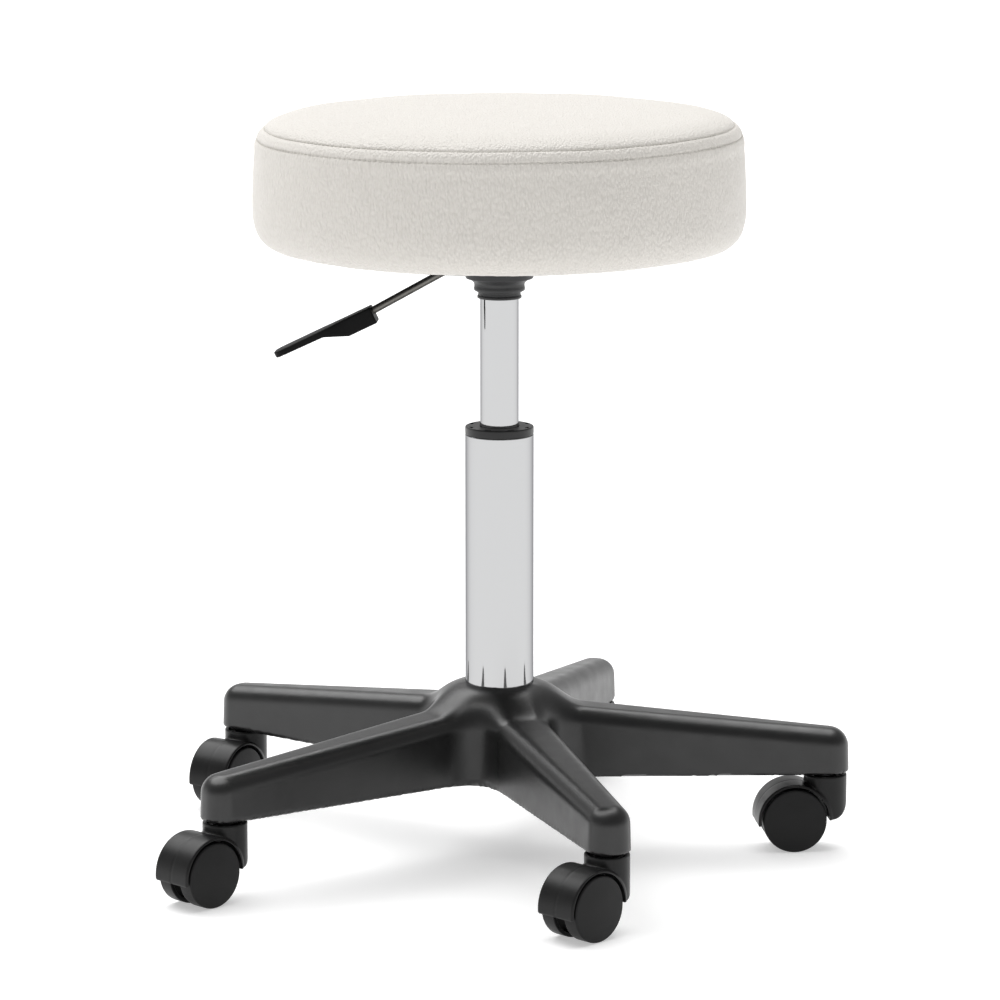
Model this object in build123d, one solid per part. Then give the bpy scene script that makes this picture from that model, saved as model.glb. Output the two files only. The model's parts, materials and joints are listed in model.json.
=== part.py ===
"""Pedicure stool: a round padded seat on a gas lift, with a release lever, over a
five-arm moulded base on hooded twin-wheel casters.

Frame: millimetres, +Z up. The origin is on the floor, on the column's axis, and
+X runs along the first arm of the base. The lift stands 88 mm above its lowest
position.
"""

from build123d import *

import os
from math import asin, cos, pi, radians, sin, sqrt

# ---------------------------------------------------------------- driving sizes
ARM_COUNT = 5
ARM_STEP = 360 / ARM_COUNT
RUNNING = 0.05  # radial clearance of every running fit

# Casters: each one points along its own -X, with its stem on the local Z axis
WHEEL_R = 23.5
WHEEL_OUTER_Y = 18.2  # half the caster's width over its two wheels
WHEEL_INNER_Y = 5.2
WHEEL_CROWN = 1.1  # how far the outer disc bulges
WHEEL_EDGE = 1.1  # rounding of the tread
DISC_T = 2.8  # thickness of the outer disc and of the tread ring
TRAIL = 24.5  # stem axis to axle
AXLE_R = 3.0
AXLE_HALF = 13.2
WHEEL_HUB_R = 6.0
WEB_HALF = 4.5
FENDER_IN_R = 25.6
FENDER_OUT_R = 27.2
FENDER_HALF = 16.8
FENDER_NOSE_DEG = 3.0  # the fender's end under the neck, measured about the axle
FENDER_TAIL_DEG = 188.0
NECK_R = 16.0
NECK_TOP_Z = 55.9
NECK_LOW_Z = 22.0
STEM_R = 5.5
STEM_LOW_Z = 36.0
STEM_TOP_Z = 80.0
COLLAR_R = 8.0
COLLAR_T = 1.2
GRIP_T = 0.45  # wall of the spring sleeve round the stem
GRIP_LOW_Z = 60.0
# Swivel of each caster at rest, for the arms in turn from +X
CASTER_TURNS = (5.5, 30.0, 57.0, 45.5, 45.0)

# Base
ARM_BOTTOM_Z = 57.5
STEM_CIRCLE_R = 240.0
ARM_END_R = 257.0
ARM_ROOT_R = 45.0
ARM_END_HALF = 15.2
ARM_ROOT_HALF = 22.0
ARM_TOP_AT_AXIS = 114.3
ARM_TOP_SLOPE = 0.0985
ARM_DRAFT_DEG = 1.3
ARM_END_CORNER = 11.0
ARM_EDGE_R = 9.0
HUB_TOP_Z = 124.6
HUB_DOME_R = 20.0
HUB_FOOT_R = 50.0
HUB_BLEND_R = 5.0
HUB_BOSS_R = 31.0
BASE_WALL = 3.6
HUB_POCKET_SHOULDER_Z = 102.6
HUB_POCKET_TOP_Z = 109.0
RIB_T = 3.0
RIB_SPACING = 34.0
SPINE_SETBACK = 4.0  # the ribs' lower edges stand this far above the base's rim
CROSS_SETBACK = 6.0
SPINE_TOP_Z = 112.6
SOCKET_R = 9.6
SOCKET_TOP_Z = 84.0

# Gas lift
COLUMN_R = 25.0
COLUMN_WALL = 2.0
COLUMN_FOOT_R = 23.7  # at the lower end of the locking taper
COLUMN_FOOT_Z = 58.5
COLUMN_FLOOR_T = 5.0
COLUMN_TOP_Z = 309.2
SLEEVE_TOP_Z = 315.2
SLEEVE_LOW_Z = 226.0
SLEEVE_SLOTS = 8
SLEEVE_EDGE = 0.8
SLEEVE_SLOT_R = 21.8  # circle of the slots' middles
SLEEVE_SLOT_SIZE = (2.2, 5.0, 2.4)
CYLINDER_R = 14.0
CYLINDER_WALL = 2.0
CYLINDER_LOW_Z = 175.0
CYLINDER_TOP_Z = 434.0
CYLINDER_TAPER_Z = 412.0
CYLINDER_TOP_R = 13.4
GLAND_T = 14.0
VALVE_LOW_Z = 398.0
ROD_R = 5.0
ROD_FOOT_R = 4.0
ROD_FOOT_Z = 55.6
ROD_TOP_Z = 246.0
WASHER_T = 1.5
BALL_R = 1.45
BALL_COUNT = 8
BALL_CIRCLE_R = 8.0
WASHER_R = 11.0
BUFFER_TOP_Z = 85.0
CLIP_T = 1.2
CLIP_GAP = 0.3  # between the clip and the column's floor
CLIP_GROOVE_R = 3.2
PISTON_T = 8.0
SEAL_DEPTH = 1.8
GROOVE_HALF = 1.0
PASSAGE_R = 0.8
PASSAGE_PLACE = 6.5

# Seat
SEAT_BOTTOM_Z = 446.0
SEAT_TOP_Z = 546.0
SEAT_SIDE_R = 178.0
COVER_T = 1.2
CLOTH_T = 0.6
CLOTH_R = 149.0
BOARD_R = 160.0
BOARD_T = 15.0
FOLD_IN_R = 130.0  # inner edge of the cover, folded under the board
STAPLE_COUNT = 36
STAPLE_CIRCLE_R = 143.0
STAPLE_WIDE = 10.0
STAPLE_T = 0.7
STAPLE_CROWN = 1.2
STAPLE_LEG = 8.0
PLATE_T = 2.5
PLATE_HALF = 80.0
BOLT_HALF_SPACING = 60.0
BOLT_R = 3.0
BOLT_HOLE_R = 3.4
BOLT_HEAD_R = 5.5
BOLT_HEAD_T = 4.0
TEE_BARREL_R = 4.0
TEE_FLANGE_R = 9.0
TEE_T = 1.2
TEE_LENGTH = 10.0
PLATE_CORNER = 14.0
PLATE_WASHER_R = 6.2
BOLT_HEAD_EDGE = 1.2
KEY_R = 2.3
KEY_DEPTH = 2.2

# Lift mechanism and release lever. In the lever's own plane the run is the
# distance from the column's axis.
LEVER_AZIMUTH = 176.0
LEVER_SLOPE = 29.1
PIVOT_RUN = 22.0
PIVOT_Z = 437.6
PIVOT_R = 3.0
PIN_HEAD_R = 4.8
PIN_HEAD_T = 1.2
HOUSING_LOW_Z = 429.0
HOUSING_HALF = 24.0
HOUSING_BACK_RUN = -27.0
HOUSING_FRONT_RUN = 36.0
ROD_SLOT_HALF = 6.0  # the notch in the housing's floor that the rod passes
ROD_SLOT = 12.0
SOCKET_OUT_R = 17.0
TAPER_SOCKET_LOW_Z = 414.0
TAPER_SOCKET_TOP_Z = 434.4
ROCKER_HALF = 2.5
ROCKER_EYE_R = 5.6
TOE_T = 2.6
TOE_GAP = 0.15  # free play between the toe and the button
LEVER_ROD_R = 2.8
HANDLE_START = 80.0  # along the rod, from the pivot
HANDLE_SOCKET = 24.0  # how far the rod reaches into the grip
HANDLE_LENGTH = 78.5
HANDLE_BLOCK = 23.0  # the deep end of the grip, round the rod
HANDLE_BLADE_START = 40.0
HANDLE_TOP = 3.9  # heights in the grip are measured from the rod's axis
HANDLE_LOW = -9.0
BLADE_LOW = -1.5
BLADE_TIP_LOW = -0.9
HANDLE_NOSE = 3.0
HANDLE_WIDE = 24.0
HANDLE_BLOCK_WIDE = 18.0
HANDLE_CORNER = 7.0
HANDLE_TURN = 3.2  # the grip lies this much flatter than the rod
BUTTON_R = 4.0
BUTTON_TOP_Z = 438.7
BUTTON_LENGTH = 14.0
BOOT_LOW_Z = 409.0
# Radius, and height above the foot, of each corner up the boot's outer side
BOOT_STEPS = (
    (15.9, 0.0),
    (15.9, 1.4),
    (15.4, 2.0),
    (15.4, 4.6),
    (18.6, 5.6),
    (18.6, 8.0),
    (18.4, 10.4),
    (21.5, 12.2),
    (24.8, 14.4),
)


# ---------------------------------------------------------------- small helpers
def at(angle, radius=0.0, z=0.0):
    """A place on a circle about the column, with local +X pointing outwards."""
    return Rot(0, 0, angle) * Pos(radius, 0, z)


def ring(inner, outer, low, high):
    """A plain tube on the Z axis."""
    tall = high - low
    body = Cylinder(outer, tall) - Cylinder(inner, tall + 1)
    return Pos(0, 0, (low + high) / 2) * body


def bar(radius, low, high):
    """A plain round bar on the Z axis."""
    return Pos(0, 0, (low + high) / 2) * Cylinder(radius, high - low)


def bar_y(radius, half, x=0.0, z=0.0):
    """A round bar along Y."""
    return Pos(x, 0, z) * Rot(90, 0, 0) * Cylinder(radius, 2 * half)


def block(x_low, x_high, half_y, z_low, z_high):
    """A box given by its limits, even about the XZ plane."""
    centre = Pos((x_low + x_high) / 2, 0, (z_low + z_high) / 2)
    return centre * Box(x_high - x_low, 2 * half_y, z_high - z_low)


def spin(points):
    """Turns a closed outline of (radius, z) points about the Z axis."""
    outline = make_face(Polyline(*points, close=True).edges())
    return revolve(Plane.XZ * outline, Axis.Z)


def slab(points, half):
    """Extrudes a closed (x, z) outline to both sides of the XZ plane."""
    outline = make_face(Polyline(*points, close=True).edges())
    return extrude(Plane.XZ * outline, amount=half, both=True)


# ---------------------------------------------------------------- star base
def arm_half(run):
    """Half the arm's width at its foot, at a distance from the axis."""
    share = (ARM_END_R - run) / (ARM_END_R - ARM_ROOT_R)
    return ARM_END_HALF + (ARM_ROOT_HALF - ARM_END_HALF) * share


def arm_top(run):
    return ARM_TOP_AT_AXIS - ARM_TOP_SLOPE * run


def arm_blank(inset, start, end):
    """A drafted, tapering arm under a sloping top, inset from the outer faces."""
    foot = make_face(
        Polyline(
            (start, inset - arm_half(start)),
            (end, inset - arm_half(end)),
            (end, arm_half(end) - inset),
            (start, arm_half(start) - inset),
            close=True,
        ).edges()
    )
    tall = ARM_TOP_AT_AXIS - ARM_BOTTOM_Z + 10
    body = Pos(0, 0, ARM_BOTTOM_Z) * extrude(foot, amount=tall, taper=ARM_DRAFT_DEG)
    near = -ARM_ROOT_R
    far = ARM_END_R + ARM_ROOT_R
    above = slab(
        [
            (near, arm_top(near) - inset),
            (far, arm_top(far) - inset),
            (far, 2 * HUB_TOP_Z),
            (near, 2 * HUB_TOP_Z),
        ],
        2 * ARM_ROOT_HALF,
    )
    return body - above


def arm_outside():
    body = arm_blank(0, 10, ARM_END_R)
    corners = [
        e
        for e in body.edges()
        if (e @ 0.5).X > ARM_END_R - 8 and abs((e % 0.5).Z) > 0.9
    ]
    body = fillet(corners, ARM_END_CORNER)
    top = body.faces().sort_by(Axis.Z)[-1]
    rim = [e for e in top.edges() if (e @ 0.5).X > 15]
    return fillet(rim, ARM_EDGE_R)


def hub_outside():
    """The domed middle of the base, drafted outwards to its foot."""
    shoulder_z = HUB_TOP_Z - HUB_DOME_R
    shoulder_r = COLUMN_R + HUB_DOME_R
    slant = HUB_DOME_R * sin(pi / 4)
    outline = [
        Line((0, ARM_BOTTOM_Z), (HUB_FOOT_R, ARM_BOTTOM_Z)),
        Line((HUB_FOOT_R, ARM_BOTTOM_Z), (shoulder_r, shoulder_z)),
        ThreePointArc(
            (shoulder_r, shoulder_z),
            (COLUMN_R + slant, shoulder_z + slant),
            (COLUMN_R, HUB_TOP_Z),
        ),
        Line((COLUMN_R, HUB_TOP_Z), (0, HUB_TOP_Z)),
        Line((0, HUB_TOP_Z), (0, ARM_BOTTOM_Z)),
    ]
    return revolve(Plane.XZ * make_face(outline), Axis.Z)


def star_outside():
    """The base's outer form, with soft blends where the arms leave the hub."""
    arm = arm_outside()
    body = hub_outside()
    for index in range(ARM_COUNT):
        body = body + at(index * ARM_STEP) * arm
    creases = []
    for edge in body.edges():
        middle = edge @ 0.5
        run = sqrt(middle.X**2 + middle.Y**2)
        curved = edge.geom_type not in (GeomType.LINE, GeomType.CIRCLE)
        if curved and 30 < run < 60 and ARM_BOTTOM_Z + 1 < middle.Z < 116:
            creases.append(edge)
    return fillet(creases, HUB_BLEND_R)


def column_solid():
    """The outside of the column, which also cuts its bore in the hub."""
    return spin(
        [
            (0, COLUMN_FOOT_Z),
            (COLUMN_FOOT_R, COLUMN_FOOT_Z),
            (COLUMN_R, HUB_TOP_Z),
            (COLUMN_R, COLUMN_TOP_Z),
            (0, COLUMN_TOP_Z),
        ]
    )


def star_base():
    """A thin-walled moulding, open below, with ribs, hub boss and stem sockets."""
    body = star_outside()
    floor_z = ARM_BOTTOM_Z
    cell_start = HUB_BOSS_R + RIB_T
    hollow = spin(
        [
            (HUB_BOSS_R, floor_z - 1),
            (HUB_FOOT_R - BASE_WALL, floor_z - 1),
            (COLUMN_R + HUB_DOME_R - BASE_WALL, HUB_POCKET_SHOULDER_Z),
            (cell_start, HUB_POCKET_TOP_Z),
            (HUB_BOSS_R, HUB_POCKET_TOP_Z),
        ]
    )
    cell = arm_blank(BASE_WALL, cell_start, ARM_END_R - BASE_WALL)
    for index in range(ARM_COUNT):
        hollow = hollow + at(index * ARM_STEP) * cell
    kept = bar(HUB_BOSS_R, floor_z, HUB_TOP_Z)
    ribs = []
    for index in range(ARM_COUNT):
        place = at(index * ARM_STEP)
        ribs.append(place * Pos(STEM_CIRCLE_R, 0, 0) * bar(SOCKET_R, floor_z, arm_top(STEM_CIRCLE_R)))
        spine = block(HUB_BOSS_R - 1, STEM_CIRCLE_R, RIB_T / 2, floor_z + SPINE_SETBACK, SPINE_TOP_Z)
        ribs.append(place * spine)
        run = HUB_BOSS_R + RIB_SPACING
        while run < STEM_CIRCLE_R - RIB_SPACING / 2:
            near, far = run - RIB_T / 2, run + RIB_T / 2
            cross = block(near, far, ARM_ROOT_HALF, floor_z + CROSS_SETBACK, HUB_TOP_Z)
            ribs.append(place * cross)
            run = run + RIB_SPACING
    hollow = hollow - kept
    for rib in ribs:
        hollow = hollow - rib
    body = body - hollow
    grip_r = STEM_R + RUNNING + GRIP_T
    for index in range(ARM_COUNT):
        socket = bar(grip_r, floor_z - 1, SOCKET_TOP_Z - 2)
        body = body - at(index * ARM_STEP, STEM_CIRCLE_R) * socket
    bore = column_solid() + bar(COLUMN_FOOT_R, floor_z - 5, COLUMN_FOOT_Z)
    return body - bore


def stem_grip_sleeves():
    """One split spring sleeve for each caster stem."""
    inner = STEM_R + RUNNING
    sleeve = ring(inner, inner + GRIP_T, GRIP_LOW_Z, STEM_TOP_Z - 2)
    slit = block(0, 2 * STEM_R, 0.5, GRIP_LOW_Z - 1, STEM_TOP_Z)
    sleeve = sleeve - slit
    return [at(i * ARM_STEP, STEM_CIRCLE_R) * sleeve for i in range(ARM_COUNT)]


# ---------------------------------------------------------------- gas lift
def column_tube():
    inner = COLUMN_R - COLUMN_WALL
    lower = COLUMN_FOOT_R - COLUMN_WALL
    floor_top = COLUMN_FOOT_Z + COLUMN_FLOOR_T
    return spin(
        [
            (ROD_FOOT_R + RUNNING, COLUMN_FOOT_Z),
            (COLUMN_FOOT_R, COLUMN_FOOT_Z),
            (COLUMN_R, HUB_TOP_Z),
            (COLUMN_R, COLUMN_TOP_Z),
            (inner, COLUMN_TOP_Z),
            (inner, HUB_TOP_Z),
            (lower, floor_top),
            (ROD_FOOT_R + RUNNING, floor_top),
        ]
    )


def guide_sleeve():
    """The flanged bush that carries the inner cylinder."""
    inner = CYLINDER_R + RUNNING
    body = spin(
        [
            (inner, SLEEVE_LOW_Z),
            (COLUMN_R - COLUMN_WALL, SLEEVE_LOW_Z),
            (COLUMN_R - COLUMN_WALL, COLUMN_TOP_Z),
            (COLUMN_R, COLUMN_TOP_Z),
            (COLUMN_R, SLEEVE_TOP_Z - SLEEVE_EDGE),
            (COLUMN_R - SLEEVE_EDGE, SLEEVE_TOP_Z),
            (inner, SLEEVE_TOP_Z),
        ]
    )
    for index in range(SLEEVE_SLOTS):
        turn = (index + 0.5) * 360 / SLEEVE_SLOTS
        body = body - at(turn, SLEEVE_SLOT_R, SLEEVE_TOP_Z) * Box(*SLEEVE_SLOT_SIZE)
    return body


def lower_washer():
    low = COLUMN_FOOT_Z + COLUMN_FLOOR_T
    return ring(ROD_FOOT_R + 0.3, WASHER_R, low, low + WASHER_T)


def ball_low_z():
    return COLUMN_FOOT_Z + COLUMN_FLOOR_T + WASHER_T


def upper_washer_z():
    """Underside of the upper washer, just clear of the balls."""
    return ball_low_z() + 2 * BALL_R + 0.2


def thrust_balls():
    middle = ball_low_z() + BALL_R
    step = 360 / BALL_COUNT
    return [at(i * step, BALL_CIRCLE_R, middle) * Sphere(BALL_R) for i in range(BALL_COUNT)]


def ball_cage():
    middle = ball_low_z() + BALL_R
    body = ring(ROD_FOOT_R + 1.0, WASHER_R - 0.5, middle - 0.6, middle + 0.6)
    for index in range(BALL_COUNT):
        pocket = bar(BALL_R + 0.1, middle - 1, middle + 1)
        body = body - at(index * 360 / BALL_COUNT, BALL_CIRCLE_R) * pocket
    return body


def upper_washer():
    low = upper_washer_z()
    return ring(ROD_FOOT_R, WASHER_R, low, low + WASHER_T)


def rubber_buffer():
    low = upper_washer_z() + WASHER_T
    return ring(ROD_R, WASHER_R - 0.5, low, BUFFER_TOP_Z)


def piston_rod():
    """Stepped rod: a grooved foot through the column's floor, a shoulder above."""
    clip_high = COLUMN_FOOT_Z - CLIP_GAP
    clip_low = clip_high - CLIP_T
    shoulder = upper_washer_z() + WASHER_T
    return spin(
        [
            (0, ROD_FOOT_Z),
            (ROD_FOOT_R - 0.5, ROD_FOOT_Z),
            (ROD_FOOT_R, ROD_FOOT_Z + 0.5),
            (ROD_FOOT_R, clip_low),
            (CLIP_GROOVE_R, clip_low),
            (CLIP_GROOVE_R, clip_high),
            (ROD_FOOT_R, clip_high),
            (ROD_FOOT_R, shoulder),
            (ROD_R, shoulder),
            (ROD_R, ROD_TOP_Z),
            (0, ROD_TOP_Z),
        ]
    )


def retaining_clip():
    high = COLUMN_FOOT_Z - CLIP_GAP
    body = ring(CLIP_GROOVE_R, 2 * ROD_FOOT_R, high - CLIP_T, high)
    mouth = block(0, 3 * ROD_FOOT_R, CLIP_GROOVE_R - 0.6, high - 2 * CLIP_T, high + 1)
    return body - mouth


def piston():
    """The piston, with a groove for its seal and a drilled gas passage."""
    outer = CYLINDER_R - CYLINDER_WALL - RUNNING
    groove = outer - SEAL_DEPTH
    low = ROD_TOP_Z
    middle = low + PISTON_T / 2
    body = spin(
        [
            (0, low),
            (outer, low),
            (outer, middle - GROOVE_HALF),
            (groove, middle - GROOVE_HALF),
            (groove, middle + GROOVE_HALF),
            (outer, middle + GROOVE_HALF),
            (outer, low + PISTON_T),
            (0, low + PISTON_T),
        ]
    )
    passage = Pos(PASSAGE_PLACE, 0, 0) * bar(PASSAGE_R, low - 1, low + PISTON_T + 1)
    return body - passage


def piston_seal():
    middle = ROD_TOP_Z + PISTON_T / 2
    outer = CYLINDER_R - CYLINDER_WALL - RUNNING
    half = GROOVE_HALF - 0.1
    return ring(outer - SEAL_DEPTH, outer, middle - half, middle + half)


def gas_cylinder():
    inner = CYLINDER_R - CYLINDER_WALL
    inner_top = CYLINDER_TOP_R - CYLINDER_WALL
    return spin(
        [
            (inner, CYLINDER_LOW_Z),
            (CYLINDER_R, CYLINDER_LOW_Z),
            (CYLINDER_R, CYLINDER_TAPER_Z),
            (CYLINDER_TOP_R, CYLINDER_TOP_Z),
            (inner_top, CYLINDER_TOP_Z),
            (inner, CYLINDER_TAPER_Z),
        ]
    )


def cylinder_gland():
    inner = CYLINDER_R - CYLINDER_WALL
    return ring(ROD_R + RUNNING, inner, CYLINDER_LOW_Z, CYLINDER_LOW_Z + GLAND_T)


def valve_body():
    """Plug in the top of the cylinder, bored for the release button."""
    inner = CYLINDER_R - CYLINDER_WALL
    inner_top = CYLINDER_TOP_R - CYLINDER_WALL
    bore = BUTTON_R + RUNNING
    bore_low = BUTTON_TOP_Z - BUTTON_LENGTH - 3.5
    return spin(
        [
            (1.0, VALVE_LOW_Z),
            (inner, VALVE_LOW_Z),
            (inner, CYLINDER_TAPER_Z),
            (inner_top, CYLINDER_TOP_Z),
            (bore, CYLINDER_TOP_Z),
            (bore, bore_low),
            (1.0, bore_low),
        ]
    )


def valve_button():
    low = BUTTON_TOP_Z - BUTTON_LENGTH
    body = bar(BUTTON_R, low, BUTTON_TOP_Z)
    return chamfer(body.edges().sort_by(Axis.Z)[-1], 0.8)


# ---------------------------------------------------------------- casters
def caster_hood():
    """Neck, fender over both wheels and the web between them that holds the axle."""
    axle = Pos(-TRAIL, 0, WHEEL_R)
    drum = axle * Rot(90, 0, 0) * Cylinder(FENDER_OUT_R, 2 * FENDER_HALF)
    neck = bar(NECK_R, NECK_LOW_Z, NECK_TOP_Z)
    nose = block(NECK_R - 5, NECK_R + 1, NECK_R, NECK_LOW_Z - 1, NECK_LOW_Z + 9)
    nose = nose - bar_y(9.5, NECK_R, NECK_R - 9.5, NECK_LOW_Z + 9)
    outside = drum + (neck - nose)
    low = sin(radians(FENDER_TAIL_DEG)) * FENDER_OUT_R
    far = 2 * FENDER_OUT_R
    nose_z = WHEEL_R + sin(radians(FENDER_NOSE_DEG)) * FENDER_OUT_R
    below = slab(
        [
            (-TRAIL - far, WHEEL_R + low),
            (-TRAIL, WHEEL_R + low),
            (-TRAIL + far, nose_z),
            (-TRAIL + far, -far),
            (-TRAIL - far, -far),
        ],
        far,
    )
    cavity = axle * Rot(90, 0, 0) * Cylinder(FENDER_IN_R, 3 * FENDER_HALF)
    web = cavity & block(
        -TRAIL - WHEEL_HUB_R - 3, 1.0, WEB_HALF, WHEEL_R - WHEEL_HUB_R - 2, 2 * NECK_TOP_Z
    )
    body = (outside - below - cavity) + web
    body = body - bar_y(AXLE_R, WEB_HALF + 1, -TRAIL, WHEEL_R)
    return body - bar(STEM_R, STEM_LOW_Z, NECK_TOP_Z + 1)


def caster_stem():
    """Steel pin with a collar that stands on the hood's neck."""
    pin = bar(STEM_R, STEM_LOW_Z, STEM_TOP_Z)
    pin = chamfer(pin.edges().sort_by(Axis.Z)[-1], 1.5)
    return pin + ring(STEM_R - 1, COLLAR_R, NECK_TOP_Z, NECK_TOP_Z + COLLAR_T)


def caster_axle():
    return bar_y(AXLE_R, AXLE_HALF, -TRAIL, WHEEL_R)


def caster_wheel(side):
    """A cupped wheel, closed outside, on the +Y (side 1) or -Y (side -1) side."""
    bore_r = AXLE_R + RUNNING
    bore_end = AXLE_HALF + 0.3
    edge_y = WHEEL_OUTER_Y - WHEEL_CROWN
    inside_y = WHEEL_OUTER_Y - WHEEL_CROWN - DISC_T
    rim_in = WHEEL_R - DISC_T
    disc_r = WHEEL_R - WHEEL_EDGE
    dome_r = (disc_r**2 + WHEEL_CROWN**2) / (2 * WHEEL_CROWN)
    half_turn = asin(disc_r / dome_r) / 2
    dome_drop = dome_r * (1 - cos(half_turn))
    outline = [
        Line((bore_r, WHEEL_INNER_Y), (WHEEL_HUB_R, WHEEL_INNER_Y)),
        Line((WHEEL_HUB_R, WHEEL_INNER_Y), (WHEEL_HUB_R, inside_y)),
        Line((WHEEL_HUB_R, inside_y), (rim_in, inside_y)),
        Line((rim_in, inside_y), (rim_in, WHEEL_INNER_Y)),
        Line((rim_in, WHEEL_INNER_Y), (WHEEL_R, WHEEL_INNER_Y)),
        Line((WHEEL_R, WHEEL_INNER_Y), (WHEEL_R, edge_y - WHEEL_EDGE)),
        Line((WHEEL_R, edge_y - WHEEL_EDGE), (disc_r, edge_y)),
        ThreePointArc(
            (disc_r, edge_y),
            (dome_r * sin(half_turn), WHEEL_OUTER_Y - dome_drop),
            (0, WHEEL_OUTER_Y),
        ),
        Line((0, WHEEL_OUTER_Y), (0, bore_end)),
        Line((0, bore_end), (bore_r, bore_end)),
        Line((bore_r, bore_end), (bore_r, WHEEL_INNER_Y)),
    ]
    body = revolve(Plane.XZ * make_face(outline), Axis.Z)
    return Pos(-TRAIL, 0, WHEEL_R) * Rot(-90 * side, 0, 0) * body


# ---------------------------------------------------------------- seat
def cushion_outline(inset):
    """Side of the upholstered seat, drawn in by the cover's thickness or not at all."""
    low = SEAT_BOTTOM_Z + inset
    high = SEAT_TOP_Z - inset
    side = SEAT_SIDE_R - inset
    foot = (163 - inset / 2, low + 2)
    shoulder = (174.6 - inset, 526.5)
    roll_end = (163 - inset, high - 8)
    return [
        Line((0, low), (150, low)),
        Spline((150, low), foot, (side - 1.5, 463), tangents=[(1, 0), (0.1, 1)]),
        Spline(
            (side - 1.5, 463),
            (side, 486),
            shoulder,
            tangents=[(0.1, 1), (-0.2, 1)],
        ),
        Spline(shoulder, (170 - inset, 534 - inset / 2), roll_end),
        Spline(roll_end, (110, high - 1.8), (0, high), tangents=[(-0.95, 0.35), (-1, 0)]),
        Line((0, high), (0, low)),
    ]


def cushion_solid(inset):
    face = make_face(cushion_outline(inset))
    return revolve(Plane.XZ * face, Axis.Z)


def board_low_z():
    return SEAT_BOTTOM_Z + COVER_T


def bolt_places():
    half = BOLT_HALF_SPACING
    turned = Rot(0, 0, LEVER_AZIMUTH)
    return [turned * Pos(x, y, 0) for x in (-half, half) for y in (-half, half)]


def seat_cover():
    body = cushion_solid(0) - cushion_solid(COVER_T)
    return body - bar(FOLD_IN_R, SEAT_BOTTOM_Z - 1, board_low_z() + 0.01)


def seat_board():
    low = board_low_z()
    body = bar(BOARD_R, low, low + BOARD_T) & cushion_solid(COVER_T)
    for place in bolt_places():
        body = body - place * bar(TEE_BARREL_R, low - 1, low + BOARD_T + 1)
    return body


def seat_foam():
    """Foam on top of the board and down over its edge."""
    low = board_low_z()
    body = cushion_solid(COVER_T) - bar(BOARD_R, low - 1, low + BOARD_T)
    for place in bolt_places():
        pocket = bar(TEE_FLANGE_R, low + BOARD_T, low + BOARD_T + TEE_T)
        body = body - place * pocket
    return body


def tee_nuts():
    top = board_low_z() + BOARD_T
    nut = bar(TEE_FLANGE_R, top, top + TEE_T) + bar(TEE_BARREL_R, top - TEE_LENGTH, top)
    nut = nut - bar(BOLT_R, top - TEE_LENGTH - 1, top + TEE_T + 1)
    return [place * nut for place in bolt_places()]


def dust_cloth():
    """Thin cloth under the board, stepped down over the cover's fold."""
    high = board_low_z()
    edge = SEAT_BOTTOM_Z
    body = spin(
        [
            (0, high - CLOTH_T),
            (FOLD_IN_R - CLOTH_T, high - CLOTH_T),
            (FOLD_IN_R - CLOTH_T, edge - CLOTH_T),
            (CLOTH_R, edge - CLOTH_T),
            (CLOTH_R, edge),
            (FOLD_IN_R, edge),
            (FOLD_IN_R, high),
            (0, high),
        ]
    )
    for place in bolt_places():
        body = body - place * bar(BOLT_HOLE_R, edge - 2, high + 1)
    return body


def cover_staples():
    """Wire staples through the cloth and the cover's fold into the board."""
    high = SEAT_BOTTOM_Z - CLOTH_T
    half = STAPLE_WIDE / 2
    crown = Pos(0, 0, high - STAPLE_T / 2) * Box(STAPLE_CROWN, STAPLE_WIDE, STAPLE_T)
    leg = Box(STAPLE_CROWN - 0.2, STAPLE_T, STAPLE_LEG)
    rise = high + STAPLE_LEG / 2 - STAPLE_T
    staple = crown
    for side in (-1, 1):
        staple = staple + Pos(0, side * (half - STAPLE_T / 2), rise) * leg
    step = 360 / STAPLE_COUNT
    return [at(i * step, STAPLE_CIRCLE_R) * staple for i in range(STAPLE_COUNT)]


def plate_top_z():
    return board_low_z() - CLOTH_T


def in_lever_plane(part):
    """Turns a part drawn with the lever along +X to the lever's direction."""
    return Rot(0, 0, LEVER_AZIMUTH) * part


def seat_plate():
    high = plate_top_z()
    body = block(-PLATE_HALF, PLATE_HALF, PLATE_HALF, high - PLATE_T, high)
    corners = [e for e in body.edges() if abs((e % 0.5).Z) > 0.9]
    body = fillet(corners, PLATE_CORNER)
    half = BOLT_HALF_SPACING
    for x in (-half, half):
        for y in (-half, half):
            body = body - Pos(x, y, 0) * bar(BOLT_HOLE_R, high - 5, high + 1)
    return in_lever_plane(body)


def lift_housing():
    """Pressed channel under the plate, open towards the lever."""
    high = plate_top_z() - PLATE_T
    wall = PLATE_T
    body = block(HOUSING_BACK_RUN, HOUSING_FRONT_RUN, HOUSING_HALF, HOUSING_LOW_Z, high)
    inside = block(
        HOUSING_BACK_RUN + wall,
        HOUSING_FRONT_RUN + 1,
        HOUSING_HALF - wall,
        HOUSING_LOW_Z + wall,
        high + 1,
    )
    body = body - inside - bar(SOCKET_OUT_R, HOUSING_LOW_Z - 1, HOUSING_LOW_Z + wall + 1)
    slot = block(
        HOUSING_FRONT_RUN - ROD_SLOT,
        HOUSING_FRONT_RUN + 1,
        ROD_SLOT_HALF,
        HOUSING_LOW_Z - 1,
        HOUSING_LOW_Z + wall + 1,
    )
    pin_hole = bar_y(PIVOT_R, HOUSING_HALF + 1, PIVOT_RUN, PIVOT_Z)
    return in_lever_plane(body - slot - pin_hole)


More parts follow.
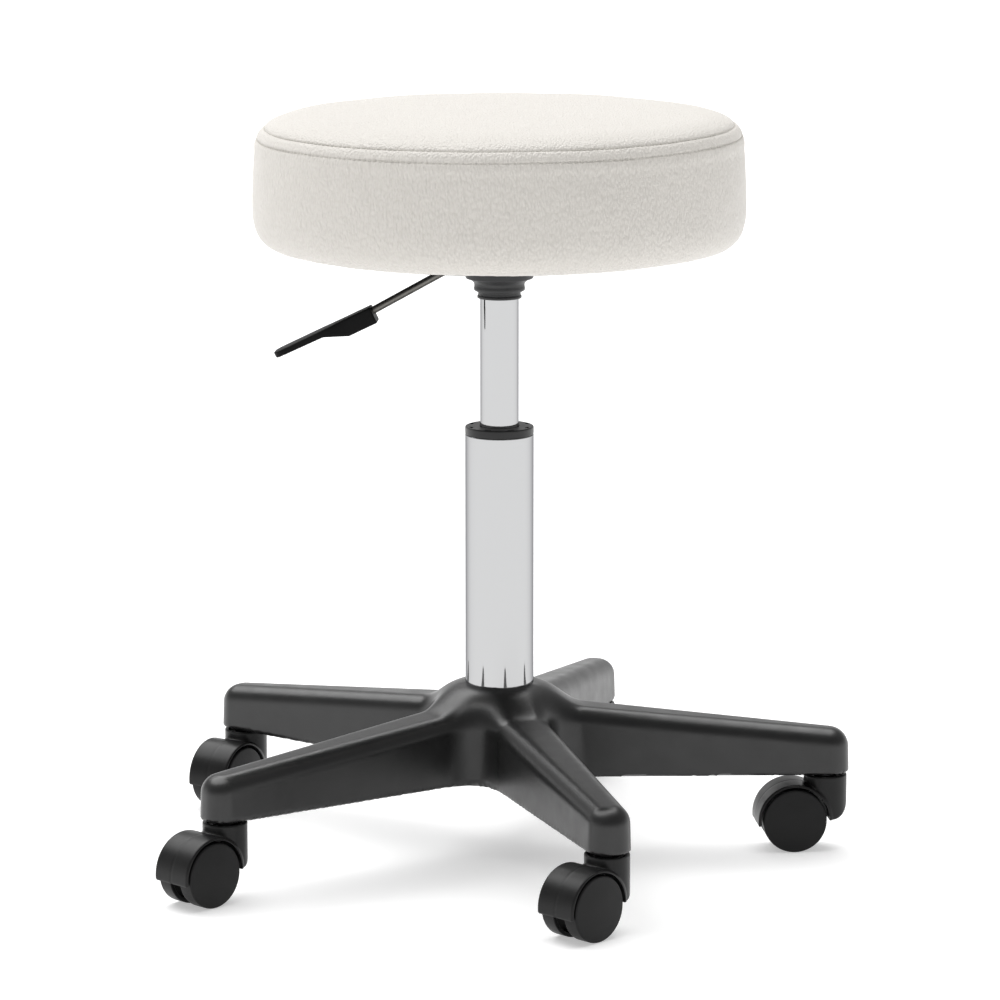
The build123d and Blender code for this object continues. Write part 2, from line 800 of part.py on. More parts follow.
def taper_socket():
    return spin(
        [
            (CYLINDER_R, TAPER_SOCKET_LOW_Z),
            (SOCKET_OUT_R, TAPER_SOCKET_LOW_Z),
            (SOCKET_OUT_R, TAPER_SOCKET_TOP_Z),
            (CYLINDER_TOP_R + 0.6, TAPER_SOCKET_TOP_Z),
        ]
    ) - gas_outside()


def gas_outside():
    """The cylinder's own taper, used to bore the socket that grips it."""
    return spin(
        [
            (0, CYLINDER_LOW_Z),
            (CYLINDER_R, CYLINDER_LOW_Z),
            (CYLINDER_R, CYLINDER_TAPER_Z),
            (CYLINDER_TOP_R, CYLINDER_TOP_Z),
            (CYLINDER_TOP_R, CYLINDER_TOP_Z + 5),
            (0, CYLINDER_TOP_Z + 5),
        ]
    )


def dust_boot():
    """Stepped rubber boot over the socket's lower end."""
    outside = [(radius, BOOT_LOW_Z + height) for radius, height in BOOT_STEPS]
    flange_r = BOOT_STEPS[-1][0]
    return spin(
        [
            (CYLINDER_R, BOOT_LOW_Z),
            *outside,
            (flange_r, HOUSING_LOW_Z),
            (SOCKET_OUT_R, HOUSING_LOW_Z),
            (SOCKET_OUT_R, TAPER_SOCKET_LOW_Z),
            (CYLINDER_R, TAPER_SOCKET_LOW_Z),
        ]
    )


def pivot_pin():
    """Headed pin across the housing."""
    body = bar_y(PIVOT_R, HOUSING_HALF + PIN_HEAD_T, PIVOT_RUN, PIVOT_Z)
    head = bar_y(PIN_HEAD_R, PIN_HEAD_T / 2, PIVOT_RUN, PIVOT_Z)
    for side in (-1, 1):
        body = body + Pos(0, side * (HOUSING_HALF + PIN_HEAD_T / 2), 0) * head
    return in_lever_plane(body)


def plate_washers():
    high = plate_top_z() - PLATE_T
    washer = ring(BOLT_R, PLATE_WASHER_R, high - WASHER_T, high)
    return [place * washer for place in bolt_places()]


def plate_bolts():
    """Socket-head screws from below into the tee nuts."""
    head_high = plate_top_z() - PLATE_T - WASHER_T
    head = bar(BOLT_HEAD_R, head_high - BOLT_HEAD_T, head_high)
    head = fillet(head.edges().sort_by(Axis.Z)[0], BOLT_HEAD_EDGE)
    key = Pos(0, 0, head_high - BOLT_HEAD_T) * extrude(RegularPolygon(KEY_R, 6), amount=KEY_DEPTH)
    shank = bar(BOLT_R, head_high, board_low_z() + BOARD_T)
    return [place * (head - key + shank) for place in bolt_places()]


# ---------------------------------------------------------------- release lever
def on_rod(along):
    """A frame on the lever's rod, its +X down the rod, at a length from the pivot."""
    return Pos(PIVOT_RUN, 0, PIVOT_Z) * Rot(0, LEVER_SLOPE, 0) * Pos(along, 0, 0)


def lever_rod():
    """Rocker with an eye on the pin, a toe over the button, and the round rod."""
    toe_low = BUTTON_TOP_Z + TOE_GAP
    eye = bar_y(ROCKER_EYE_R, ROCKER_HALF, PIVOT_RUN, PIVOT_Z)
    toe = block(0, PIVOT_RUN, ROCKER_HALF, toe_low, toe_low + TOE_T)
    rod_start = ROCKER_EYE_R - 1
    length = HANDLE_START + HANDLE_SOCKET - rod_start
    rod = on_rod(rod_start) * Rot(0, 90, 0) * bar(LEVER_ROD_R, 0, length)
    body = eye + toe + rod
    body = body - bar_y(PIVOT_R + RUNNING, ROCKER_HALF + 5, PIVOT_RUN, PIVOT_Z)
    return in_lever_plane(body)


def handle_profile():
    """Side view of the grip: a deep block round the rod, ramping up to a thin blade."""
    return [
        (0, HANDLE_TOP),
        (HANDLE_LENGTH - HANDLE_NOSE, HANDLE_TOP),
        (HANDLE_LENGTH, (HANDLE_TOP + BLADE_TIP_LOW) / 2),
        (HANDLE_LENGTH - HANDLE_NOSE / 2, BLADE_TIP_LOW),
        (HANDLE_BLADE_START, BLADE_LOW),
        (HANDLE_BLOCK, HANDLE_LOW),
        (0, HANDLE_LOW),
    ]


def handle_plan():
    """Seen from above, the grip widens from the block to the blade's rounded end."""
    outline = make_face(
        Polyline(
            (0, -HANDLE_BLOCK_WIDE / 2),
            (HANDLE_BLOCK, -HANDLE_BLOCK_WIDE / 2),
            (HANDLE_BLADE_START, -HANDLE_WIDE / 2),
            (HANDLE_LENGTH, -HANDLE_WIDE / 2),
            (HANDLE_LENGTH, HANDLE_WIDE / 2),
            (HANDLE_BLADE_START, HANDLE_WIDE / 2),
            (HANDLE_BLOCK, HANDLE_BLOCK_WIDE / 2),
            (0, HANDLE_BLOCK_WIDE / 2),
            close=True,
        ).edges()
    )
    body = extrude(outline, amount=2 * HANDLE_TOP - HANDLE_LOW, both=True)
    ends = [e for e in body.edges() if abs((e % 0.5).Z) > 0.9 and (e @ 0.5).X > HANDLE_LENGTH - 1]
    return fillet(ends, HANDLE_CORNER)


def lever_handle():
    """Moulded grip pushed onto the rod."""
    body = slab(handle_profile(), HANDLE_WIDE) & handle_plan()
    body = on_rod(HANDLE_START) * Rot(0, -HANDLE_TURN, 0) * body
    hole = on_rod(HANDLE_START) * Rot(0, 90, 0) * bar(LEVER_ROD_R, -HANDLE_BLOCK, HANDLE_SOCKET)
    return in_lever_plane(body - hole)


# ---------------------------------------------------------------- writing
def caster_place(index):
    """Swivel each caster about its stem; its wheels trail along local -X."""
    return at(index * ARM_STEP, STEM_CIRCLE_R) * Rot(0, 0, CASTER_TURNS[index] - index * ARM_STEP)


def all_nodes():
    nodes = {
        "star_base": star_base(),
        "stem_grip_sleeves": stem_grip_sleeves(),
        "outer_column": column_tube(),
        "guide_sleeve": guide_sleeve(),
        "thrust_washer_lower": lower_washer(),
        "thrust_balls": thrust_balls(),
        "ball_cage": ball_cage(),
        "thrust_washer_upper": upper_washer(),
        "rubber_buffer": rubber_buffer(),
        "piston_rod": piston_rod(),
        "retaining_clip": retaining_clip(),
        "piston": piston(),
        "piston_seal": piston_seal(),
        "gas_cylinder": gas_cylinder(),
        "cylinder_gland": cylinder_gland(),
        "valve_body": valve_body(),
        "valve_button": valve_button(),
        "seat_cover": seat_cover(),
        "seat_foam": seat_foam(),
        "seat_board": seat_board(),
        "tee_nuts": tee_nuts(),
        "dust_cloth": dust_cloth(),
        "cover_staples": cover_staples(),
        "seat_plate": seat_plate(),
        "lift_housing": lift_housing(),
        "taper_socket": taper_socket(),
        "dust_boot": dust_boot(),
        "lever_pivot_pin": pivot_pin(),
        "plate_washers": plate_washers(),
        "plate_bolts": plate_bolts(),
        "lever_rod": lever_rod(),
        "lever_handle": lever_handle(),
    }
    shapes = {
        "hood": caster_hood(),
        "stem": caster_stem(),
        "axle": caster_axle(),
        "wheel_left": caster_wheel(1),
        "wheel_right": caster_wheel(-1),
    }
    for index in range(ARM_COUNT):
        for name, shape in shapes.items():
            nodes[f"caster_{index + 1}_{name}"] = caster_place(index) * shape
    return nodes


def write(nodes):
    os.makedirs("parts", exist_ok=True)
    for name, shape in nodes.items():
        if isinstance(shape, list):
            shape = Compound(children=[solid for part in shape for solid in part.solids()])
        export_step(shape, f"parts/{name}.step")


write(all_nodes())
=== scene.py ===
"""Looks of the pedicure stool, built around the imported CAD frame. Metres, +Z up.

Sizes in the shape functions are in millimetres; MM turns them into scene units.
"""

import json
import math

import bmesh
import bpy
import numpy as np
from mathutils import Matrix, Vector
from mathutils.bvhtree import BVHTree


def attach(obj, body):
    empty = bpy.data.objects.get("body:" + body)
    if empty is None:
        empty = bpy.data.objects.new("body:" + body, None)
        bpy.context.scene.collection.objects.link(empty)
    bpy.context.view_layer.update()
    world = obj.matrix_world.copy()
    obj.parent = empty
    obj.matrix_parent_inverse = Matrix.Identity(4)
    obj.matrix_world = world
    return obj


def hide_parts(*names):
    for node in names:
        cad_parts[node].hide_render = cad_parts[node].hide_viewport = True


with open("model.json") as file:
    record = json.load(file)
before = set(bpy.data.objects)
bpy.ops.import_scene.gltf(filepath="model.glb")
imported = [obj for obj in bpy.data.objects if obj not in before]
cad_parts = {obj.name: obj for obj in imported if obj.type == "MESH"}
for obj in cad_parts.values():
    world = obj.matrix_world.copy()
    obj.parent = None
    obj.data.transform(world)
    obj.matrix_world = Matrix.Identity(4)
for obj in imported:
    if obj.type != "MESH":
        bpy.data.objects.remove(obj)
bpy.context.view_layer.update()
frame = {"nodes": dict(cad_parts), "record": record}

MM = 0.001
ARM_COUNT = 5
ARM_STEP = 2 * math.pi / ARM_COUNT


# ---------------------------------------------------------------- camera
CAMERA_PLACE = (0.0004, -3.382, 0.901)
CAMERA_DOWN_DEG = 10.73
CAMERA_LENS = 170.1

camera = bpy.data.objects.new("camera", bpy.data.cameras.new("camera"))
camera.data.lens = CAMERA_LENS
camera.data.sensor_width = 36
camera.data.clip_end = 50
camera.location = CAMERA_PLACE
camera.rotation_euler = (math.radians(90 - CAMERA_DOWN_DEG), 0, 0)
bpy.context.collection.objects.link(camera)
bpy.context.scene.camera = camera


# ---------------------------------------------------------------- node helpers
# Places of a Mix node's sockets when it mixes colours
MIX_FACTOR = 0
MIX_FIRST = 6
MIX_SECOND = 7
MIX_RESULT = 2


class Shader:
    """A material under construction: one Principled shader and what feeds it."""

    def __init__(self, name, color, rough, metallic=0.0, **sockets):
        self.material = bpy.data.materials.new(name)
        self.material.use_nodes = True
        self.nodes = self.material.node_tree.nodes
        self.links = self.material.node_tree.links
        self.base = self.nodes["Principled BSDF"]
        self.base.inputs["Base Color"].default_value = (*color, 1)
        self.base.inputs["Roughness"].default_value = rough
        self.base.inputs["Metallic"].default_value = metallic
        for key, value in sockets.items():
            self.base.inputs[key.replace("_", " ")].default_value = value
        self.color = color
        self.rough = rough
        self.place = self.nodes.new("ShaderNodeTexCoord").outputs["Object"]
        self.bumps = None

    def pattern(self, kind, size_mm, stretch):
        """A texture with features about size_mm across, longer where stretch is under 1."""
        mapping = self.nodes.new("ShaderNodeMapping")
        mapping.inputs["Scale"].default_value = stretch
        self.links.new(self.place, mapping.inputs["Vector"])
        node = self.nodes.new(kind)
        node.inputs["Scale"].default_value = 1 / (size_mm * MM)
        self.links.new(mapping.outputs["Vector"], node.inputs["Vector"])
        return node

    def noise(self, size_mm, detail, stretch=(1, 1, 1)):
        node = self.pattern("ShaderNodeTexNoise", size_mm, stretch)
        node.inputs["Detail"].default_value = detail
        return node.outputs["Fac"]

    def cells(self, size_mm, stretch=(1, 1, 1)):
        return self.pattern("ShaderNodeTexVoronoi", size_mm, stretch).outputs["Distance"]

    def remap(self, value, low, high, to_low, to_high):
        """Stretches a value's range from low..high to to_low..to_high."""
        node = self.nodes.new("ShaderNodeMapRange")
        keys = ("From Min", "From Max", "To Min", "To Max")
        for key, number in zip(keys, (low, high, to_low, to_high)):
            node.inputs[key].default_value = number
        self.links.new(value, node.inputs["Value"])
        return node.outputs["Result"]

    def vary_rough(self, value, spread):
        """Roughness wanders by +-spread with a 0..1 pattern."""
        out = self.remap(value, 0.25, 0.75, self.rough - spread, self.rough + spread)
        self.links.new(out, self.base.inputs["Roughness"])
        return self

    def vary_color(self, value, other, low=0.3, high=0.7):
        """Base colour runs from the main colour to another with a 0..1 pattern."""
        mix = self.nodes.new("ShaderNodeMix")
        mix.data_type = "RGBA"
        mix.inputs[MIX_FIRST].default_value = (*self.color, 1)
        mix.inputs[MIX_SECOND].default_value = (*other, 1)
        self.links.new(self.remap(value, low, high, 0, 1), mix.inputs[MIX_FACTOR])
        self.links.new(mix.outputs[MIX_RESULT], self.base.inputs["Base Color"])
        return self

    def bump(self, value, height_mm, strength=1.0):
        """Adds relief; later calls pile on top of earlier ones."""
        node = self.nodes.new("ShaderNodeBump")
        node.inputs["Distance"].default_value = height_mm * MM
        node.inputs["Strength"].default_value = strength
        self.links.new(value, node.inputs["Height"])
        if self.bumps is not None:
            self.links.new(self.bumps, node.inputs["Normal"])
        self.bumps = node.outputs["Normal"]
        self.links.new(self.bumps, self.base.inputs["Normal"])
        return self


# ---------------------------------------------------------------- materials
def make_vinyl():
    look = Shader("seat_vinyl", (0.66, 0.633, 0.593), 0.48, Specular_IOR_Level=0.4)
    pebble_grain_and_crease_shade = look.cells(1.5, stretch=(1, 1, 0.42))
    # Painted shade: the creases between the pebbles are coloured darker, as if shaded, as well as being
    # bumped
    look.vary_color(pebble_grain_and_crease_shade, (0.615, 0.588, 0.548), 0.35, 0.8)
    look.vary_rough(look.noise(9, 3), 0.05)
    look.bump(look.noise(14, 2), 0.3, 0.5)
    look.bump(pebble_grain_and_crease_shade, -0.75, 1.0)
    look.bump(look.noise(0.7, 2), 0.07, 0.5)
    return look.material


def make_thread():
    look = Shader("thread", (0.62, 0.6, 0.55), 0.6)
    look.vary_color(look.noise(1.2, 2), (0.5, 0.48, 0.44))
    look.bump(look.noise(0.25, 2, (1, 1, 6)), 0.06, 0.6)
    return look.material


def make_nylon(name, color, rough, grain, relief, gloss):
    """Black moulded plastic with a fine spark-eroded grain."""
    look = Shader(name, color, rough, Specular_IOR_Level=gloss)
    look.vary_color(look.noise(30, 3), tuple(c * 1.35 for c in color))
    look.vary_rough(look.noise(14, 4), 0.05)
    look.bump(look.noise(grain, 2), relief, 0.6)
    return look.material


def make_chrome():
    look = Shader("chrome", (0.44, 0.442, 0.446), 0.045, 1.0)
    look.base.inputs["Specular Tint"].default_value = (0.35, 0.35, 0.36, 1)
    look.vary_rough(look.noise(25, 4), 0.012)
    look.bump(look.noise(70, 1), 0.02, 0.1)
    return look.material


def make_rubber(name, color, rough):
    look = Shader(name, color, rough)
    look.vary_color(look.noise(8, 3), tuple(c * 1.6 for c in color))
    look.vary_rough(look.noise(4, 3), 0.06)
    look.bump(look.noise(0.6, 3), 0.04, 0.5)
    return look.material


def make_steel(name, color, rough, stretch=(1, 1, 12)):
    look = Shader(name, color, rough, 1.0)
    look.vary_rough(look.noise(1.5, 3, stretch), 0.08)
    look.vary_color(look.noise(12, 3), tuple(c * 0.85 for c in color))
    look.bump(look.noise(0.8, 2, stretch), 0.02, 0.4)
    return look.material


def make_painted():
    look = Shader("painted_plate", (0.016, 0.016, 0.017), 0.42)
    look.vary_color(look.noise(10, 3), tuple(c * 1.4 for c in look.color))
    look.vary_rough(look.noise(6, 3), 0.06)
    look.bump(look.noise(0.9, 2), 0.05, 0.5)
    return look.material


def make_wood():
    look = Shader("plywood", (0.55, 0.38, 0.22), 0.6)
    look.vary_color(look.noise(3, 5, (0.15, 1, 1)), (0.42, 0.27, 0.14))
    look.bump(look.noise(1, 4, (0.1, 1, 1)), 0.1, 0.5)
    return look.material


def make_cloth(name, color, size_mm):
    look = Shader(name, color, 0.9, Sheen_Weight=0.2)
    look.vary_color(look.noise(size_mm, 4), tuple(c * 1.8 for c in color))
    look.bump(look.noise(size_mm, 3), 0.25, 0.8)
    return look.material


MATERIALS = {
    "seat_vinyl": make_vinyl(),
    "thread": make_thread(),
    "base_nylon": make_nylon("base_nylon", (0.0055, 0.0055, 0.0056), 0.33, 0.5, 0.04, 0.56),
    "sleeve_plastic": make_nylon("sleeve_plastic", (0.01, 0.01, 0.0104), 0.42, 0.6, 0.04, 0.4),
    "caster_plastic": make_nylon("caster_plastic", (0.0065, 0.0065, 0.0066), 0.34, 0.4, 0.03, 0.24),
    "wheel_nylon": make_nylon("wheel_nylon", (0.006, 0.006, 0.0062), 0.42, 0.5, 0.03, 0.2),
    "handle_plastic": make_nylon("handle_plastic", (0.004, 0.004, 0.0041), 0.55, 0.5, 0.03, 0.1),
    "chrome": make_chrome(),
    "boot_rubber": make_rubber("boot_rubber", (0.014, 0.014, 0.0145), 0.5),
    "seal_rubber": make_rubber("seal_rubber", (0.02, 0.02, 0.02), 0.6),
    "spring_steel": make_steel("spring_steel", (0.42, 0.42, 0.44), 0.35),
    "bearing_steel": make_steel("bearing_steel", (0.6, 0.6, 0.62), 0.22),
    "rod_steel": make_steel("rod_steel", (0.55, 0.55, 0.57), 0.2),
    "zinc_steel": make_steel("zinc_steel", (0.62, 0.62, 0.6), 0.33, (1, 1, 1)),
    "brass_cage": make_steel("brass_cage", (0.72, 0.52, 0.22), 0.3, (1, 1, 1)),
    "lever_steel": make_steel("lever_steel", (0.15, 0.145, 0.135), 0.3, (1, 1, 1)),
    "painted_plate": make_painted(),
    "plywood": make_wood(),
    "seat_foam": make_cloth("seat_foam", (0.5, 0.45, 0.3), 1.5),
    "dust_cloth": make_cloth("dust_cloth", (0.012, 0.012, 0.012), 0.8),
}
SLOT_OF = {p["node"]: p["material_slot"] for p in frame["record"]["subparts"]}


def paint(obj, slot):
    """Gives the whole object one material."""
    obj.data.materials.clear()
    obj.data.materials.append(MATERIALS[slot])


for name, node in frame["nodes"].items():
    for place in node.material_slots:
        place.material = MATERIALS[SLOT_OF[name]]


# ---------------------------------------------------------------- mesh helpers
CREASE = math.radians(50)  # steeper edges than this stay sharp in the shading


def new_object(name, vertices, faces, slot):
    """A smooth-shaded mesh object from points in millimetres, facing outwards."""
    mesh = bpy.data.meshes.new(name)
    mesh.from_pydata((np.asarray(vertices, float) * MM).tolist(), [], faces)
    mesh.validate()
    form = bmesh.new()
    form.from_mesh(mesh)
    bmesh.ops.recalc_face_normals(form, faces=form.faces)
    form.to_mesh(mesh)
    form.free()
    obj = bpy.data.objects.new(name, mesh)
    bpy.context.collection.objects.link(obj)
    paint(obj, slot)
    shade(obj)
    return obj


def shade(obj):
    """Smooth shading, with the steep edges kept sharp."""
    obj.data.shade_smooth()
    obj.data.set_sharp_from_angle(angle=CREASE)


def coordinates(obj):
    """The object's points as an array, in millimetres."""
    out = np.empty(len(obj.data.vertices) * 3)
    obj.data.vertices.foreach_get("co", out)
    return out.reshape(-1, 3) / MM


def set_coordinates(obj, points):
    """Moves the object's points to these, in millimetres."""
    obj.data.vertices.foreach_set("co", (points * MM).ravel())
    obj.data.update()


def apply_modifiers(obj):
    """Makes the object's modifiers part of its mesh."""
    graph = bpy.context.evaluated_depsgraph_get()
    mesh = bpy.data.meshes.new_from_object(obj.evaluated_get(graph))
    old = obj.data
    obj.modifiers.clear()
    obj.data = mesh
    bpy.data.meshes.remove(old)


def remesh(obj, size_mm):
    """Rebuilds the surface with even faces of about this size."""
    mod = obj.modifiers.new("remesh", "REMESH")
    mod.mode = "VOXEL"
    mod.voxel_size = size_mm * MM
    mod.use_smooth_shade = True
    apply_modifiers(obj)


def relax(obj, factor, rounds):
    """Evens out the places of the points."""
    mod = obj.modifiers.new("relax", "SMOOTH")
    mod.factor = factor
    mod.iterations = rounds
    apply_modifiers(obj)


def cut(obj, cutter, operation="DIFFERENCE"):
    """Boolean with a closed cutter, which is used up."""
    mod = obj.modifiers.new("cut", "BOOLEAN")
    mod.operation = operation
    mod.solver = "MANIFOLD"
    mod.object = cutter
    apply_modifiers(obj)
    bpy.data.objects.remove(cutter)


HOLD = 1.5  # an extra ring this many corner lengths along keeps a long face flat


def softened(outline, radius, steps=4, closed=False):
    """The outline with each corner replaced by a small curve."""
    count = len(outline)
    out = []
    for i, corner in enumerate(outline):
        if not closed and i in (0, count - 1):
            out.append(corner)
            continue
        here = np.array(corner, float)
        before = np.array(outline[i - 1], float) - here
        after = np.array(outline[(i + 1) % count], float) - here
        reach_in = min(radius, np.linalg.norm(before) * 0.48)
        reach_out = min(radius, np.linalg.norm(after) * 0.48)
        start = before / np.linalg.norm(before) * reach_in
        end = after / np.linalg.norm(after) * reach_out
        if np.linalg.norm(before) > 4 * radius:
            out.append(tuple(here + start * HOLD))
        for t in np.linspace(0, 1, steps + 1):
            out.append(tuple(here + (1 - t) ** 2 * start + t**2 * end))
        if np.linalg.norm(after) > 4 * radius:
            out.append(tuple(here + end * HOLD))
    return out


def band_faces(first, second, count):
    """Faces between two rings of points, from where each ring starts."""
    faces = []
    for k in range(count):
        after = (k + 1) % count
        faces.append((first + k, first + after, second + after, second + k))
    return faces


def fan_faces(ring, count, tip):
    """Faces between a ring of points and one point."""
    return [(ring + k, ring + (k + 1) % count, tip) for k in range(count)]


def lathe_part(outline, segments=128):
    """Turns an (r, z) outline, listed upwards on its outer side, about Z."""
    rings = [p for p in outline if p[0] > 0]
    closed = outline[0][0] > 0
    vertices = []
    for r, z in rings:
        for k in range(segments):
            angle = 2 * math.pi * k / segments
            vertices.append((r * math.cos(angle), r * math.sin(angle), z))
    faces = []
    count = len(rings)
    for i in range(count if closed else count - 1):
        faces += band_faces(i * segments, (i + 1) % count * segments, segments)
    if not closed:
        for end, (_, height) in ((0, outline[0]), (count - 1, outline[-1])):
            faces += fan_faces(end * segments, segments, len(vertices))
            vertices.append((0, 0, height))
    return vertices, faces


def loft(loops):
    """Vertices and faces of a closed form through a row of matching loops."""
    count = len(loops[0])
    vertices = [point for loop in loops for point in loop]
    last = len(vertices) - count
    faces = [tuple(range(count))[::-1], tuple(last + k for k in range(count))]
    for start in range(0, last, count):
        faces += band_faces(start, start + count, count)
    return vertices, faces


def slab_part(x_low, x_high, y_low, y_high, z_low, z_high):
    """A plain closed box."""
    corners = [(x_low, y_low), (x_high, y_low), (x_high, y_high), (x_low, y_high)]
    return loft([[(x, y, z) for x, y in corners] for z in (z_low, z_high)])


def drum(radius, low, high, segments=64, centre=(0, 0)):
    """A plain closed cylinder on Z, for cutting."""
    loops = []
    for level in (low, high):
        loop = []
        for k in range(segments):
            angle = 2 * math.pi * k / segments
            x = centre[0] + radius * math.cos(angle)
            y = centre[1] + radius * math.sin(angle)
            loop.append((x, y, level))
        loops.append(loop)
    return loft(loops)


def drum_y(radius, half, centre, segments=128):
    """A plain closed cylinder along Y about a centre in the XZ plane."""
    vertices, faces = drum(radius, -half, half, segments)
    return [(centre[0] + x, z, centre[1] + y) for x, y, z in vertices], faces


def join_parts(name, parts, slot):
    """One object out of several (vertices, faces) pairs."""
    vertices, faces = [], []
    for part_vertices, part_faces in parts:
        start = len(vertices)
        vertices += [tuple(v) for v in part_vertices]
        faces += [tuple(start + i for i in f) for f in part_faces]
    return new_object(name, vertices, faces, slot)


def cutter(*parts):
    """A closed object that cut() uses up."""
    return join_parts("cutter", parts, "base_nylon")


def copy_of(obj, name):
    """Another object on the same mesh."""
    twin = bpy.data.objects.new(name, obj.data)
    bpy.context.collection.objects.link(twin)
    return twin


def fit(piece, body, slot, *nodes):
    """Says what a finished piece moves with and stands for; the slot is not used."""
    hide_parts(*nodes)
    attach(piece, body)


# ---------------------------------------------------------------- distance fields
def both(a, b, radius):
    """Intersection of two fields with its edge rounded."""
    u = np.maximum(a + radius, 0)
    v = np.maximum(b + radius, 0)
    return np.minimum(-radius, np.maximum(a, b)) + np.hypot(u, v)


def either(a, b, radius):
    """Union of two fields with its inner corner filled."""
    u = np.maximum(radius - a, 0)
    v = np.maximum(radius - b, 0)
    return np.maximum(radius, np.minimum(a, b)) - np.hypot(u, v)


def settle(obj, field, rounds):
    """Moves every point of the object onto the zero surface of a field."""
    p = coordinates(obj)
    step = 0.02
    reach = 1.5  # bounds how far a point moves in one round
    flattest = 0.2  # a gentler slope counts as this steep
    for _ in range(rounds):
        value = field(p)
        slope = np.empty_like(p)
        for axis in range(3):
            shift = np.zeros(3)
            shift[axis] = step
            slope[:, axis] = (field(p + shift) - field(p - shift)) / (2 * step)
        steepness = np.maximum((slope**2).sum(axis=1), flattest)
        p = p - slope * np.clip(value / steepness, -reach, reach)[:, None]
    set_coordinates(obj, p)


def sculpt(obj, field, voxel):
    """Turns a rough closed form into the field's surface with even faces."""
    for size_mm, first, smoothing, last in ((voxel * 1.3, 3, 4, 5), (voxel, 3, 3, 4)):
        remesh(obj, size_mm)
        settle(obj, field, first)
        relax(obj, 0.5, smoothing)
        settle(obj, field, last)


def turned(p, angle):
    """Points seen from a frame turned by an angle about Z."""
    cosine, sine = math.cos(angle), math.sin(angle)
    x = p[:, 0] * cosine + p[:, 1] * sine
    y = p[:, 1] * cosine - p[:, 0] * sine
    return np.stack([x, y, p[:, 2]], axis=1)


def spun(part, angle):
    """A copy of a part turned by an angle about Z."""
    vertices, faces = part
    return turned(np.asarray(vertices, float), -angle).tolist(), faces


def hill(distance, width):
    """1 at no distance, falling away smoothly on both sides."""
    return np.exp(-((distance / width) ** 2))


def beyond(distance, width):
    """0 well below no distance and 1 well above it, with a smooth change between."""
    return 1 / (1 + np.exp(-distance / width))


# ---------------------------------------------------------------- star base
ARM_BOTTOM = 57.5
ARM_END = 257.0
ARM_ROOT = 45.0
ARM_END_HALF = 15.2
ARM_ROOT_HALF = 22.0
ARM_TOP = 114.3
ARM_SLOPE = 0.0985
ARM_DRAFT = math.tan(math.radians(1.3))
ARM_CORNER = 13.5
ARM_EDGE = 12.0
ARM_BEVEL = 5.0  # on the corners of the faceted arms
HUB_TOP = 124.6
HUB_WALL = 46.0
HUB_DRAFT = 0.1
HUB_DOME = 20.0
HUB_EDGE = HUB_DOME - 1
HUB_BLEND = 17.0
HUB_BOSS = 31.0
HUB_POCKET_TOP = 107.6
COLUMN_R = 25.0
STEM_CIRCLE = 240.0
BASE_WALL = 3.6
BASE_LOW_EDGE = 1.0
SOCKET_POST = 9.6
SOCKET_BORE = 6.0
SOCKET_TOP = 82.0
RIB_COUNT = 5
RIB_HALF = 1.5
RIB_SPACING = 34.0
RIB_LOW = ARM_BOTTOM + 6
SPINE_LOW = ARM_BOTTOM + 4
# The arm before it is sculpted and the pocket in it, as (drop from the top, inset)
ROUGH_STEPS = ((10, 2), (2, 8))
ROUGH_DROP = 2
POCKET_STEPS = ((BASE_WALL + 8, BASE_WALL), (BASE_WALL, BASE_WALL + 6))
# Cutters reach past what they open
HOLLOW_LOW = ARM_BOTTOM - 5
CUTTER_LOW = ARM_BOTTOM - 9
CUTTER_HIGH = HUB_TOP + 9


def arm_half(x):
    """Half of an arm's width along it, at its foot."""
    return ARM_END_HALF + (ARM_ROOT_HALF - ARM_END_HALF) * (ARM_END - x) / (ARM_END - ARM_ROOT)


def arm_field(p):
    """An arm that runs out along +X, as a field that is negative inside."""
    x, y, z = p[:, 0], np.abs(p[:, 1]), p[:, 2]
    side = y - arm_half(x) + (z - ARM_BOTTOM) * ARM_DRAFT
    end = x - ARM_END + (z - ARM_BOTTOM) * ARM_DRAFT
    top = (z - ARM_TOP + ARM_SLOPE * x) / math.hypot(1, ARM_SLOPE)
    plan = both(side, end, ARM_CORNER)
    return np.maximum(both(plan, top, ARM_EDGE), -x)


def star_field(p):
    """The hub with all of its arms."""
    r = np.hypot(p[:, 0], p[:, 1])
    z = p[:, 2]
    wall = r - HUB_WALL + (z - HUB_TOP + HUB_DOME) * HUB_DRAFT
    body = both(wall, z - HUB_TOP, HUB_EDGE)
    for k in range(ARM_COUNT):
        body = either(body, arm_field(turned(p, k * ARM_STEP)), HUB_BLEND)
    return both(body, ARM_BOTTOM - z, BASE_LOW_EDGE)


def arm_core(start, low, steps):
    """A faceted arm inside the moulded one; each step is (drop from the top, inset)."""
    loops = [[]]
    for drop, inset in steps:
        end = ARM_END - inset
        loop = []
        for x, back, side in (
            (start, 0, -1),
            (end - ARM_BEVEL, 0, -1),
            (end, ARM_BEVEL, -1),
            (end, ARM_BEVEL, 1),
            (end - ARM_BEVEL, 0, 1),
            (start, 0, 1),
        ):
            high = ARM_TOP - ARM_SLOPE * x - drop
            half = arm_half(x) - inset - back - (high - ARM_BOTTOM) * ARM_DRAFT
            loop.append((x, side * half, high))
        loops.append(loop)
    loops[0] = [(x, y, low) for x, y, _ in loops[1]]
    return loft(loops)


